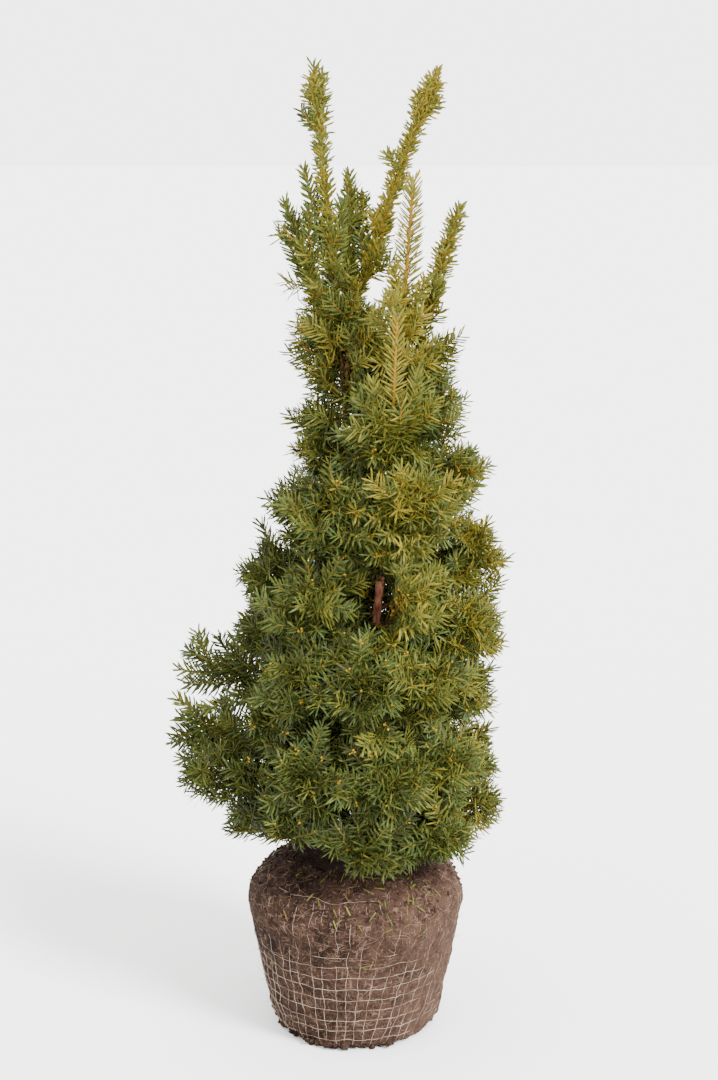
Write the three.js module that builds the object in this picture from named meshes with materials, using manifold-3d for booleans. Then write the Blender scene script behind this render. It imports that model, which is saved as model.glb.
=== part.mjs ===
// English yew on its netted root ball, the way a nursery lifts and sells it.
//
// Millimetres, +Z up. The origin is the centre of the ball's flat underside. +X is the plant's
// right and +Y its back, so azimuths run from the right (0) over the back (90) to the left (180)
// and the front (270).
//
// The ball stands on the ground and the trunk stands on the ball. The trunk is whole from the soil
// to the foot of the centre plume. Three leaders rise beside it, and a few long boughs carry the
// widest masses low down. Each mass of foliage is one solid: shoots that branch by a seeded rule
// from one stem, with needles standing out of their slim cores. It keeps to its own convex space.

import * as THREE from 'three';
import Module from 'manifold-3d';

const wasm = await Module();
wasm.setup();

const UP = new THREE.Vector3(0, 0, 1);
const RIGHT = new THREE.Vector3(1, 0, 0);
const CLEAR = 0.3; // gap between two solids that touch on the plant

// ---------------------------------------------------------------------------------------------
// Driving dimensions
// ---------------------------------------------------------------------------------------------

// Root ball: a flat foot, a straight side that widens upward, and a rounded shoulder.
const BALL = {
  sides: 20,
  footRadius: 92,
  edgeRadius: 101,
  edgeHeight: 9,
  wideRadius: 128,
  wideHeight: 155,
  seatRadius: 56,
  height: 209,
  shoulderSteps: 5,
};

// Net: string ribs and hoops round the ball's straight side.
const NET = { hoops: 4, lowest: 24, highest: 148, halfWidth: 1, gap: 0.4, thickness: 1.2 };

// Trunk and leaders: cubic curves. A leader leaves its parent at a height.
const TRUNK = {
  route: [[2, 0, BALL.height + CLEAR], [12, 4, 410], [38, -12, 610], [50, -18, 800]],
  baseRadius: 7.6,
  tipRadius: 2.8,
  flare: 4.5,
  flareHeight: 14,
  crowding: 1.6, // power by which the rings crowd towards the foot
  sides: 8,
  steps: 12,
};
const LEADERS = [
  {
    name: 'left_leader',
    parent: 'trunk',
    height: 330,
    route: [[-14, 14, 460], [2, 10, 650], [-20, 4, 840]],
    baseRadius: 5,
    tipRadius: 2.4,
  },
  {
    name: 'second_leader',
    parent: 'left_leader',
    height: 760,
    route: [[-10, 14, 790], [-8, 18, 820], [-4, 16, 852]],
    baseRadius: 2.8,
    tipRadius: 2.2,
  },
  {
    name: 'right_leader',
    parent: 'trunk',
    height: 690,
    route: [[50, -10, 730], [60, 4, 765], [68, 8, 805]],
    baseRadius: 2.9,
    tipRadius: 2.2,
  },
];
const LEADER_SIDES = 6;
const LEADER_STEPS = 6;

// Boughs. Columns: name, parent, height on it, azimuth, rise, length.
const BOUGHS = [
  ['skirt_right_bough', 'trunk', 236, 5, 10, 55],
  ['far_left_bough', 'trunk', 302, 182, 19, 78],
  ['far_left_upper_bough', 'left_leader', 366, 176, 24, 72],
];
const BOUGH = { baseRadius: 4.4, tipRadius: 3, sides: 6, steps: 3, lift: 0.04 };

// Masses of foliage. Columns: name, the limb that carries it, height on that limb (null where the
// mass goes on from the limb's tip), azimuth, rise, reach from root to tip, girth to each side of
// its line, and lift, the share of the reach by which its tip bends up.
const MASSES = [
  ['skirt_right', 'skirt_right_bough', null, 5, 10, 116, 50, 0.05],
  ['skirt_front_right', 'trunk', 242, 322, 9, 150, 56, -0.02],
  ['skirt_front', 'trunk', 236, 272, 8, 140, 54, -0.02],
  ['skirt_front_left', 'trunk', 243, 228, 11, 146, 56, -0.02],
  ['skirt_left', 'trunk', 238, 190, 4, 152, 50, -0.02],
  ['skirt_back_left', 'trunk', 230, 127, 8, 148, 66, 0],
  ['skirt_back_right', 'trunk', 232, 62, 8, 148, 66, 0],

  ['left_low', 'trunk', 272, 192, 16, 214, 52, 0],
  ['far_left', 'far_left_bough', null, 181, 18, 150, 50, 0.04],
  ['front_left_low', 'trunk', 300, 240, 15, 150, 60, 0.06],
  ['front_low', 'trunk', 298, 284, 14, 148, 58, 0.06],
  ['front_right_low', 'trunk', 304, 328, 15, 150, 60, 0.06],
  ['right_low', 'trunk', 298, 2, 14, 151, 56, 0.05],
  ['back_right_low', 'trunk', 292, 62, 15, 145, 60, 0.06],
  ['back_left_low', 'trunk', 296, 112, 15, 145, 60, 0.06],

  ['left_front', 'trunk', 346, 206, 20, 148, 58, 0.05],
  ['far_left_upper', 'far_left_upper_bough', null, 177, 20, 146, 50, 0.06],
  ['front_left_middle', 'trunk', 392, 228, 27, 150, 60, 0.06],
  ['front_middle', 'trunk', 388, 266, 27, 148, 60, 0.06],
  ['front_right_middle', 'trunk', 392, 308, 26, 150, 60, 0.06],
  ['right_middle', 'trunk', 376, 356, 18, 144, 58, 0.04],
  ['back_right_middle', 'trunk', 386, 42, 26, 148, 58, 0.06],
  ['back_left_middle', 'left_leader', 400, 104, 28, 140, 62, 0.06],

  ['left_middle', 'left_leader', 418, 182, 30, 146, 54, 0.05],
  ['left_upper', 'left_leader', 480, 186, 35, 140, 56, 0.06],
  ['front_left_upper', 'left_leader', 470, 240, 35, 136, 62, 0.07],
  ['front_upper', 'trunk', 474, 290, 35, 140, 62, 0.07],
  ['right_shoulder', 'trunk', 446, 346, 24, 152, 58, 0.04],
  ['right_upper', 'trunk', 512, 2, 31, 150, 58, 0.05],
  ['back_right_upper', 'trunk', 478, 52, 32, 136, 60, 0.06],
  ['back_left_upper', 'left_leader', 492, 108, 34, 130, 62, 0.06],

  ['left_high', 'left_leader', 574, 188, 46, 110, 54, 0.06],
  ['front_left_high', 'left_leader', 564, 252, 50, 124, 60, 0.07],
  ['front_right_high', 'trunk', 572, 300, 48, 132, 62, 0.07],
  ['right_high', 'trunk', 604, 352, 43, 132, 58, 0.06],
  ['back_high', 'left_leader', 590, 92, 44, 118, 60, 0.06],

  ['left_crown', 'left_leader', 664, 190, 60, 92, 46, 0.06],
  ['front_crown', 'trunk', 668, 262, 60, 120, 56, 0.06],
  ['right_crown', 'trunk', 684, 346, 56, 108, 50, 0.06],
  ['back_crown', 'trunk', 676, 72, 56, 116, 54, 0.06],

  ['left_shoulder', 'left_leader', 748, 188, 68, 108, 40, 0.04],
  ['front_shoulder', 'left_leader', 726, 292, 66, 122, 42, 0.05],
  ['right_shoot', 'trunk', 728, 356, 65, 92, 38, 0.04],
  ['back_shoulder', 'left_leader', 738, 78, 66, 122, 44, 0.05],

  ['centre_front', 'trunk', 758, 262, 68, 126, 42, 0.05],
  ['upper_left', 'left_leader', 812, 192, 70, 156, 38, 0.04],
  ['inner_spray', 'left_leader', 822, 60, 78, 168, 28, 0.02],
  ['left_plume', 'left_leader', null, 184, 85, 283, 30, 0],
  ['second_plume', 'second_leader', null, 356, 73, 320, 30, -0.12],
  ['centre_plume', 'trunk', null, 0, 86, 198, 32, 0],
  ['right_plume', 'right_leader', null, 4, 74, 172, 30, 0],
];

// Shoots and their needles.
const GOLDEN_ANGLE = 137.5;
const SHOOT = {
  stemRadius: 2.2,
  twigRadius: 1.7,
  tipRadius: 0.7,
  bareInside: 0.3, // share of a stem without needles, from its root inside the crown
  bareOnTip: 0.08, // the same on a stem that goes on from a limb's tip
  bareTwig: 9, // of a twig, from its root, without needles
  shortest: 20, // a twig that its space leaves shorter than this is skipped
  twigArea: 2300, // of a mass's outline for each twig
  lastTwig: 0.92, // share of the stem that bears the last one
  turnJitter: 50, // degrees
  spread: [60, 35], // degrees from the stem, at its root and at its tip
  length: [1.3, 0.8], // share of the girth, at the stem's root and at its tip
  lengthJitter: [0.85, 1.15],
  lift: 0.1,
  bluntness: 44, // length of the ellipsoid past the leafy line, before it is cut off
  margin: 3.4, // to the edge of the space and to a limb's bark
};
const NEEDLE = {
  length: 22,
  shortest: 8,
  drawIn: 3.5, // step by which one that would leave the space is made shorter
  angle: 50, // degrees from its shoot
  pitch: 13, // along the shoot from one ring to the next
  twist: 12, // degrees by which each ring is turned on from the last
  clearOfShoot: 5,
  last: 13, // past its shoot's tip, of the one that the shoot ends in
  lastRadius: 0.5,
};
const PROBE = 5; // greatest step between the points at which a line is tested

// The core of a dense mass: the toothed bulk inside it that its twigs stand out of.
const CORE = {
  leastGirth: 40,
  sides: 6,
  rings: 5,
  from: 0.04, // shares of the leafy stem where it starts and ends
  to: 0.86,
  tooth: 0.9, // shares of the way to the edge of the space
  notch: 0.42,
  ragged: 0.2, // share by which a tooth may fall short
  turnJitter: 0.3, // of the angle between two corners
  end: 0.5, // size of the end rings
  angle: 62, // degrees of a tooth from the stem
  bareTwig: 0.55, // share of a twig inside it
};

// ---------------------------------------------------------------------------------------------
// Small geometry helpers
// ---------------------------------------------------------------------------------------------

const { degToRad: radians, lerp, smoothstep } = THREE.MathUtils;
const STEEP = 0.88; // a line that starts steeper than this is framed from the right
const HALVINGS = 40;
const PARALLEL = 1e-9; // below this a product of two directions counts as nothing
const vector = ([x, y, z]) => new THREE.Vector3(x, y, z);

/** Unit vector at an azimuth and a rise over the level, both in degrees. */
function heading(azimuth, rise) {
  const level = Math.cos(radians(rise));
  return new THREE.Vector3(
    level * Math.cos(radians(azimuth)),
    level * Math.sin(radians(azimuth)),
    Math.sin(radians(rise)),
  );
}

/** Line of a bough or shoot: straight along its heading, its tip bent up by lift x length. */
function risingCurve(start, direction, length, lift) {
  const middle = start.clone().addScaledVector(direction, length / 2);
  const end = start.clone().addScaledVector(direction, length).addScaledVector(UP, lift * length);
  return new THREE.QuadraticBezierCurve3(start, middle, end);
}

/** Share of a rising curve at which it passes a height, by halving. */
function shareAtHeight(curve, height) {
  let [low, high] = [0, 1];
  for (let i = 0; i < HALVINGS; i += 1) {
    const middle = (low + high) / 2;
    if (curve.getPoint(middle).z < height) low = middle;
    else high = middle;
  }
  return low;
}

/** Points along a curve with their shares of it, worked out once. */
const samplesOf = new Map();
function samples(curve) {
  if (!samplesOf.has(curve)) {
    const count = Math.ceil(curve.getLength() / PROBE);
    const shares = Array.from({ length: count + 1 }, (_, i) => i / count);
    samplesOf.set(curve, shares.map((share) => ({ share, place: curve.getPoint(share) })));
  }
  return samplesOf.get(curve);
}

/** Seeded random numbers from 0 to 1. */
function seededRandom(seed) {
  let state = Math.imul(seed + 1, 2654435761) >>> 0;
  return () => {
    state = (Math.imul(state, 1664525) + 1013904223) >>> 0;
    return state / 2 ** 32;
  };
}

/** Place and tangent of a curve at a share of it, and two unit vectors across it there. */
function frameAt(curve, share) {
  const side = Math.abs(curve.getTangent(0).z) < STEEP ? UP : RIGHT;
  const tangent = curve.getTangent(share);
  const first = side.clone().cross(tangent).normalize();
  return { centre: curve.getPoint(share), tangent, first, second: tangent.clone().cross(first) };
}

/** Unit vector at a lean from a frame's tangent and at a turn round it, both in radians. */
function leaning({ tangent, first, second }, lean, turn) {
  const direction = tangent.clone().multiplyScalar(Math.cos(lean));
  direction.addScaledVector(first, Math.cos(turn) * Math.sin(lean));
  return direction.addScaledVector(second, Math.sin(turn) * Math.sin(lean));
}

/** Closest points of the leafy lines of two masses, as shares along each. */
function closestShares(a, b) {
  const da = a.tip.clone().sub(a.leafy);
  const db = b.tip.clone().sub(b.leafy);
  const gap = a.leafy.clone().sub(b.leafy);
  const [aa, bb, ab] = [da.dot(da), db.dot(db), da.dot(db)];
  const clamp = (value) => Math.min(1, Math.max(0, value));
  const cross = aa * bb - ab * ab;
  let s = cross > PARALLEL ? clamp((ab * db.dot(gap) - bb * da.dot(gap)) / cross) : 0;
  const t = clamp((ab * s + db.dot(gap)) / bb);
  s = clamp((ab * t - da.dot(gap)) / aa);
  return [s, t];
}

// ---------------------------------------------------------------------------------------------
// Solids
// ---------------------------------------------------------------------------------------------

/** A closed triangle mesh as a solid that can be joined and cut. */
function solidOf(positions, faces) {
  const vertProperties = new Float32Array(positions);
  const triVerts = new Uint32Array(faces);
  return new wasm.Manifold(new wasm.Mesh({ numProp: 3, vertProperties, triVerts }));
}

/** A solid's triangles as a geometry. */
function geometryOf(solid) {
  const { vertProperties, triVerts } = solid.getMesh();
  const geometry = new THREE.BufferGeometry();
  geometry.setAttribute('position', new THREE.BufferAttribute(vertProperties, 3));
  geometry.setIndex(new THREE.BufferAttribute(triVerts, 1));
  geometry.computeVertexNormals();
  return geometry;
}

/**
 * Rings of corners joined into a closed solid with flat ends. A corner that stands out of its ring
 * as a needle meets only its four slim neighbours.
 */
function loft(rings, standsOut = () => false) {
  const sides = rings[0].length;
  const faces = [];
  for (let k = 0; k + 1 < rings.length; k += 1) {
    for (let j = 0; j < sides; j += 1) {
      const [a, b] = [k * sides + j, k * sides + ((j + 1) % sides)];
      const [c, d] = [b + sides, a + sides];
      if (standsOut(k, j)) faces.push(a, b, d, b, c, d);
      else faces.push(a, b, c, a, c, d);
    }
  }
  const last = (rings.length - 1) * sides;
  for (let j = 1; j + 1 < sides; j += 1) {
    faces.push(0, j + 1, j, last, last + j, last + j + 1);
  }
  return solidOf(rings.flat().flatMap((corner) => corner.toArray()), faces);
}

// ---------------------------------------------------------------------------------------------
// Root ball and net
// ---------------------------------------------------------------------------------------------

/** The ball, turned from its profile. */
function rootBall() {
  const profile = [[0, 0], [BALL.footRadius, 0], [BALL.edgeRadius, BALL.edgeHeight]];
  for (let i = 0; i <= BALL.shoulderSteps; i += 1) {
    const angle = (i / BALL.shoulderSteps) * (Math.PI / 2);
    const radius = BALL.seatRadius + (BALL.wideRadius - BALL.seatRadius) * Math.cos(angle);
    profile.push([radius, BALL.wideHeight + (BALL.height - BALL.wideHeight) * Math.sin(angle)]);
  }
  profile.push([0, BALL.height]);
  const points = profile.map(([radius, height]) => new THREE.Vector2(radius, height));
  return new THREE.LatheGeometry(points, BALL.sides).rotateX(Math.PI / 2);
}

/** Radius of the ball's straight side at a height. */
function sideRadius(height) {
  const share = (height - BALL.edgeHeight) / (BALL.wideHeight - BALL.edgeHeight);
  return BALL.edgeRadius + share * (BALL.wideRadius - BALL.edgeRadius);
}

/**
 * The net as one lattice. Each knot is a flat square of eight corners, and straps join it to the
 * next knot round the ball and to the next one up.
 */
function ballNet() {
  const positions = [];
  const faces = [];
  const hoopHeight = (row) => NET.lowest + (row / (NET.hoops - 1)) * (NET.highest - NET.lowest);
  for (let row = 0; row < NET.hoops; row += 1) {
    for (let rib = 0; rib < BALL.sides; rib += 1) {
      for (let corner = 0; corner < 8; corner += 1) {
        const [across, up, out] = [corner & 1, (corner >> 1) & 1, corner >> 2];
        const height = hoopHeight(row) + (2 * up - 1) * NET.halfWidth;
        const radius = sideRadius(height) + NET.gap + out * NET.thickness;
        const turn = (rib / BALL.sides) * 2 * Math.PI - Math.PI / 2;
        const angle = turn + ((2 * across - 1) * NET.halfWidth) / radius;
        positions.push(radius * Math.cos(angle), radius * Math.sin(angle), height);
      }
    }
  }
  const at = (rib, row, corner) => (row * BALL.sides + (rib % BALL.sides)) * 8 + corner;
  const quad = (a, b, c, d) => faces.push(a, b, c, a, c, d);
  for (let row = 0; row < NET.hoops; row += 1) {
    for (let rib = 0; rib < BALL.sides; rib += 1) {
      const here = (corner) => at(rib, row, corner);
      const right = (corner) => at(rib + 1, row, corner);
      quad(here(4), here(5), here(7), here(6));
      quad(here(0), here(2), here(3), here(1));
      quad(here(5), right(4), right(6), here(7));
      quad(here(1), here(3), right(2), right(0));
      quad(here(7), right(6), right(2), here(3));
      quad(here(5), here(1), right(0), right(4));
      if (row + 1 < NET.hoops) {
        const above = (corner) => at(rib, row + 1, corner);
        quad(here(6), here(7), above(5), above(4));
        quad(here(2), above(0), above(1), here(3));
        quad(here(7), here(3), above(1), above(5));
        quad(here(6), above(4), above(0), here(2));
      } else {
        quad(here(6), here(7), here(3), here(2));
      }
      if (row === 0) quad(here(4), here(0), here(1), here(5));
    }
  }
  return geometryOf(solidOf(positions, faces));
}

// ---------------------------------------------------------------------------------------------
// Limbs
// ---------------------------------------------------------------------------------------------

/** One tapering limb along a curve. */
class Limb {
  constructor({ name, curve, baseRadius, tipRadius, sides, steps, ...foot }) {
    Object.assign(this, { name, curve, baseRadius, tipRadius, sides, steps });
    Object.assign(this, { flare: 0, flareHeight: 1, crowding: 1 }, foot);
  }

  /** Radius at a share of the limb: an even taper, and the root flare over the soil. */
  radius(share) {
    const taper = this.baseRadius + share * (this.tipRadius - this.baseRadius);
    const rise = this.curve.getPoint(share).z - this.curve.getPoint(0).z;
    return taper + this.flare * Math.exp(-rise / this.flareHeight);
  }

  /** The limb's solid, grown on all sides but its foot by a clearance. A flared foot is level. */
  solid(clearance = 0) {
    const grow = clearance / Math.cos(Math.PI / this.sides);
    const rings = [];
    for (let k = 0; k <= this.steps; k += 1) {
      const share = (k / this.steps) ** this.crowding;
      const frame = frameAt(this.curve, share);
      if (k === this.steps) frame.centre.addScaledVector(frame.tangent, clearance);
      const ring = [];
      for (let j = 0; j < this.sides; j += 1) {
        const out = leaning(frame, Math.PI / 2, (j / this.sides) * 2 * Math.PI);
        const corner = frame.centre.clone().addScaledVector(out, this.radius(share) + grow);
        if (k === 0 && this.flare > 0) corner.z = frame.centre.z;
        ring.push(corner);
      }
      rings.push(ring);
    }
    return loft(rings);
  }

  /** Distance from a point to the limb's skin, below zero inside it. */
  distanceTo(point) {
    return Math.min(...samples(this.curve).map(
      ({ place, share }) => place.distanceTo(point) - this.radius(share),
    ));
  }
}

/** A solid cut clear of limbs that it meets, as one body: loose scraps are dropped. */
function cutClear(solid, limbs) {
  const cut = limbs.reduce((rest, limb) => rest.subtract(limb.solid(CLEAR)), solid);
  const bodies = cut.decompose();
  return bodies.reduce((best, body) => (body.volume() > best.volume() ? body : best));
}

/** Every limb by name, parents first. */
function growLimbs() {
  const limbs = new Map();
  const trunkCurve = new THREE.CubicBezierCurve3(...TRUNK.route.map(vector));
  limbs.set('trunk', new Limb({ ...TRUNK, name: 'trunk', curve: trunkCurve }));
  for (const leader of LEADERS) {
    const { curve: parentCurve } = limbs.get(leader.parent);
    const start = parentCurve.getPoint(shareAtHeight(parentCurve, leader.height));
    const curve = new THREE.CubicBezierCurve3(start, ...leader.route.map(vector));
    limbs.set(leader.name, new Limb({ ...leader, curve, sides: LEADER_SIDES, steps: LEADER_STEPS }));
  }
  for (const [name, parent, height, azimuth, rise, length] of BOUGHS) {
    const { curve: parentCurve } = limbs.get(parent);
    const start = parentCurve.getPoint(shareAtHeight(parentCurve, height));
    const curve = risingCurve(start, heading(azimuth, rise), length, BOUGH.lift);
    limbs.set(name, new Limb({ ...BOUGH, name, curve }));
  }
  return limbs;
}

// ---------------------------------------------------------------------------------------------
// Masses of foliage
// ---------------------------------------------------------------------------------------------

/**
 * The convex space of a mass: an ellipsoid round its leafy line, cut off a needle's length past the
 * tip, and by one plane against each other mass. That plane stands across the shortest way between
 * the two lines, so it cuts neither.
 */
class Space {
  constructor(mass, others) {
    this.centre = mass.leafy.clone().lerp(mass.tip, 0.5);
    this.axis = mass.tip.clone().sub(mass.leafy).normalize();
    this.half = mass.leafy.distanceTo(mass.tip) / 2 + SHOOT.bluntness;
    this.girth = mass.girth;
    this.planes = others.map((other) => {
      const [s, t] = closestShares(mass, other);
      const near = mass.leafy.clone().lerp(mass.tip, s);
      const far = other.leafy.clone().lerp(other.tip, t);
      const share = mass.girth / (mass.girth + other.girth);
      const normal = far.clone().sub(near);
      const distance = normal.length() * share - CLEAR;
      normal.normalize();
      return { normal, offset: normal.dot(near) + distance };
    });
    this.planes.push({ normal: this.axis, offset: this.axis.dot(mass.tip) + NEEDLE.length });
  }

  /** How far the space reaches from a point inside it along a direction. */
  reach(point, direction) {
    const offset = point.clone().sub(this.centre);
    const along = [offset.dot(this.axis) / this.half, direction.dot(this.axis) / this.half];
    const across = [offset, direction].map((v) => (
      v.clone().addScaledVector(this.axis, -v.dot(this.axis)).divideScalar(this.girth)
    ));
    const a = along[1] ** 2 + across[1].lengthSq();
    const b = along[0] * along[1] + across[0].dot(across[1]);
    const c = along[0] ** 2 + across[0].lengthSq() - 1;
    let distance = (-b + Math.sqrt(Math.max(0, b * b - a * c))) / a;
    for (const { normal, offset: limit } of this.planes) {
      const speed = normal.dot(direction);
      if (speed > PARALLEL) distance = Math.min(distance, (limit - normal.dot(point)) / speed);
    }
    return distance;
  }

  /** Whether a point, and a margin round it, lies in the space. */
  holds(point, margin = 0) {
    const offset = point.clone().sub(this.centre);
    const along = offset.dot(this.axis);
    const across = Math.sqrt(Math.max(0, offset.lengthSq() - along * along));
    const [half, girth] = [this.half - margin, this.girth - margin];
    if ((along / half) ** 2 + (across / girth) ** 2 > 1) return false;
    return this.planes.every((plane) => plane.normal.dot(point) < plane.offset - margin);
  }
}

/** Roots, lines and seeds of the masses. */
function placeMasses(limbs) {
  return MASSES.map(([name, carrier, height, azimuth, rise, reach, girth, lift], seed) => {
    const { curve } = limbs.get(carrier);
    const share = height === null ? 1 : shareAtHeight(curve, height);
    const root = curve.getPoint(share);
    if (height === null) root.addScaledVector(curve.getTangent(1), -BOUGH.tipRadius);
    const stem = risingCurve(root, heading(azimuth, rise), reach, lift);
    const bare = height === null ? SHOOT.bareOnTip : SHOOT.bareInside;
    const [leafy, tip, dense] = [stem.getPoint(bare), stem.getPoint(1), girth >= CORE.leastGirth];
    return { name, stem, bare, leafy, tip, dense, reach, girth, seed };
  });
}

/** Share of a twig's line that stays in the space and clear of the limbs. */
function roomFor(curve, space, limbs) {
  let room = 0;
  for (const { share, place } of samples(curve).slice(1)) {
    const clear = limbs.every((limb) => limb.distanceTo(place) > SHOOT.margin);
    if (!clear || !space.holds(place, SHOOT.margin)) break;
    room = share;
  }
  return room;
}

/**
 * The seeded rule: twigs leave the stem one after the other at the golden angle, wide near the
 * root and closer to the stem near its tip, and bend up. A twig is cut short where it would leave
 * the space, and skipped where little of it is left.
 */
function growShoots(mass, space, limbs) {
  const random = seededRandom(mass.seed);
  const bareStem = mass.dense ? mass.bare + (1 - mass.bare) * CORE.to : mass.bare;
  const shoots = [
    { curve: mass.stem, length: mass.reach, radius: SHOOT.stemRadius, bare: bareStem * mass.reach },
  ];
  const span = SHOOT.lastTwig - mass.bare;
  const count = Math.round((span * mass.reach * mass.girth) / SHOOT.twigArea);
  for (let k = 0; k < count; k += 1) {
    const share = mass.bare + ((k + random()) / count) * span;
    const turn = radians(k * GOLDEN_ANGLE + SHOOT.turnJitter * random());
    const spread = radians(lerp(...SHOOT.spread, share));
    const girths = lerp(...SHOOT.length, share) * lerp(...SHOOT.lengthJitter, random());
    const frame = frameAt(mass.stem, share);
    const direction = leaning(frame, spread, turn);
    const wanted = risingCurve(frame.centre, direction, girths * mass.girth, SHOOT.lift);
    const length = roomFor(wanted, space, limbs) * girths * mass.girth;
    if (length < SHOOT.shortest) continue;
    const curve = risingCurve(frame.centre, direction, length, SHOOT.lift);
    const bare = mass.dense ? CORE.bareTwig * length : SHOOT.bareTwig;
    shoots.push({ curve, length, radius: SHOOT.twigRadius, bare });
  }
  return shoots;
}

/** Whether a point comes near the line of any shoot but one. */
function nearAnotherShoot(point, shoots, own) {
  return shoots.some((shoot) => shoot !== own && samples(shoot.curve).some(
    ({ place }) => place.distanceTo(point) < NEEDLE.clearOfShoot,
  ));
}

/** Tip of a needle, drawn in until the space holds it, or null where there is no room for one. */
function needleTip(root, direction, shoot, shoots, space, limbs) {
  for (let length = NEEDLE.length; length >= NEEDLE.shortest; length -= NEEDLE.drawIn) {
    const tip = root.clone().addScaledVector(direction, length);
    if (!space.holds(tip)) continue;
    const clear = limbs.every((limb) => limb.distanceTo(tip) > NEEDLE.clearOfShoot);
    return clear && !nearAnotherShoot(tip, shoots, shoot) ? tip : null;
  }
  return null;
}

/** The core of a dense mass: rings round its leafy stem, every other corner a long tooth. */
function coreSolid(mass, space) {
  const random = seededRandom(mass.seed + MASSES.length);
  const lean = radians(CORE.angle);
  const rings = [];
  for (let k = 0; k <= CORE.rings; k += 1) {
    const along = lerp(CORE.from, CORE.to, k / CORE.rings);
    const frame = frameAt(mass.stem, lerp(mass.bare, 1, along));
    const atEnd = k === 0 || k === CORE.rings;
    const ring = [];
    for (let j = 0; j < CORE.sides; j += 1) {
      const turn = ((j + CORE.turnJitter * random()) * 2 * Math.PI) / CORE.sides;
      const isTooth = !atEnd && (j + k) % 2 === 0;
      const direction = leaning(frame, isTooth ? lean : Math.PI / 2, turn);
      const size = isTooth ? CORE.tooth - CORE.ragged * random() : CORE.notch;
      const reach = size * (atEnd ? CORE.end : 1) * space.reach(frame.centre, direction);
      ring.push(frame.centre.clone().addScaledVector(direction, reach));
    }
    rings.push(ring);
  }
  return loft(rings, (k, j) => (j + k) % 2 === 0);
}

/**
 * One shoot: a four-sided core whose corners stand out as needles, two by turns on each ring. It
 * ends in a needle where the space has room for one.
 */
function shootSolid(shoot, shoots, space, limbs) {
  const needled = shoot.length - shoot.bare;
  const count = Math.max(1, Math.round(needled / NEEDLE.pitch));
  const shares = [0];
  for (let k = 0; k <= count; k += 1) {
    shares.push((shoot.bare + (k / count) * needled) / shoot.length);
  }
  const end = frameAt(shoot.curve, 1);
  const tip = end.centre.clone().addScaledVector(end.tangent, NEEDLE.last);
  const pointed = space.holds(tip, NEEDLE.lastRadius) && !nearAnotherShoot(tip, shoots, shoot);
  const rings = shares.map((share, k) => {
    const frame = frameAt(shoot.curve, share);
    const isLast = k === shares.length - 1;
    const atEnd = k === 0 || isLast;
    if (isLast && pointed) frame.centre.copy(tip);
    return [0, 1, 2, 3].map((j) => {
      const turn = radians(j * 90 + k * NEEDLE.twist);
      const taper = lerp(shoot.radius, SHOOT.tipRadius, share);
      const radius = isLast && pointed ? NEEDLE.lastRadius : taper;
      const corner = frame.centre.clone();
      corner.addScaledVector(leaning(frame, Math.PI / 2, turn), radius);
      if (atEnd || (j + k) % 2 === 1) return corner;
      const direction = leaning(frame, radians(NEEDLE.angle), turn);
      return needleTip(frame.centre, direction, shoot, shoots, space, limbs) ?? corner;
    });
  });
  return loft(rings, (k, j) => (j + k) % 2 === 0);
}

/** A mass: its stem and twigs joined, round a core where it is dense. */
function massSolid(mass, space, limbs) {
  const shoots = growShoots(mass, space, limbs);
  const solids = shoots.map((shoot) => shootSolid(shoot, shoots, space, limbs));
  if (mass.dense) solids.push(coreSolid(mass, space));
  return solids.reduce((joined, next) => joined.add(next));
}

// ---------------------------------------------------------------------------------------------
// Materials and assembly
// ---------------------------------------------------------------------------------------------

const FINISH = {
  soil: { color: 0x5a4636, roughness: 0.95, metalness: 0 },
  string: { color: 0xb9ab92, roughness: 0.9, metalness: 0 },
  bark: { color: 0x6b4434, roughness: 0.8, metalness: 0 },
  foliage: { roughness: 0.5, metalness: 0 },
};
const GREEN = { low: 0x3d5a2c, high: 0x8a9a3a, from: BALL.height, to: 1100 };

/** Foliage colour by height: deep green at the skirt, yellow green at the tips. */
function foliageFinish(mass) {
  const share = smoothstep(mass.tip.z, GREEN.from, GREEN.to);
  const color = new THREE.Color(GREEN.low).lerp(new THREE.Color(GREEN.high), share);
  return { ...FINISH.foliage, color };
}

function addPiece(group, name, geometry, finish) {
  const mesh = new THREE.Mesh(geometry, new THREE.MeshStandardMaterial(finish));
  mesh.name = name;
  group.add(mesh);
}

const yew = new THREE.Group();
addPiece(yew, 'root_ball', rootBall(), FINISH.soil);
addPiece(yew, 'ball_net', ballNet(), FINISH.string);

const limbs = growLimbs();
const allLimbs = [...limbs.values()];
allLimbs.forEach((limb, index) => {
  const solid = cutClear(limb.solid(), allLimbs.slice(0, index));
  addPiece(yew, limb.name, geometryOf(solid), FINISH.bark);
});

const masses = placeMasses(limbs);
for (const mass of masses) {
  const space = new Space(mass, masses.filter((other) => other !== mass));
  const solid = cutClear(massSolid(mass, space, allLimbs), allLimbs);
  addPiece(yew, mass.name, geometryOf(solid), foliageFinish(mass));
}

export default yew;
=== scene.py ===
"""An english yew on its netted root ball, dressed with bark, twigs, needles, soil and string.

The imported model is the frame. Lengths in this file are millimetres in the frame's own axes and
become metres when a mesh is made. Limbs, masses of foliage and their first twigs grow by the
frame's own rule, which is written here again, and finer twigs and needles carry it on.
"""
import logging
import math
from dataclasses import dataclass, field, fields, replace
from enum import Enum
from typing import Callable, Iterable, Sequence

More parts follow.
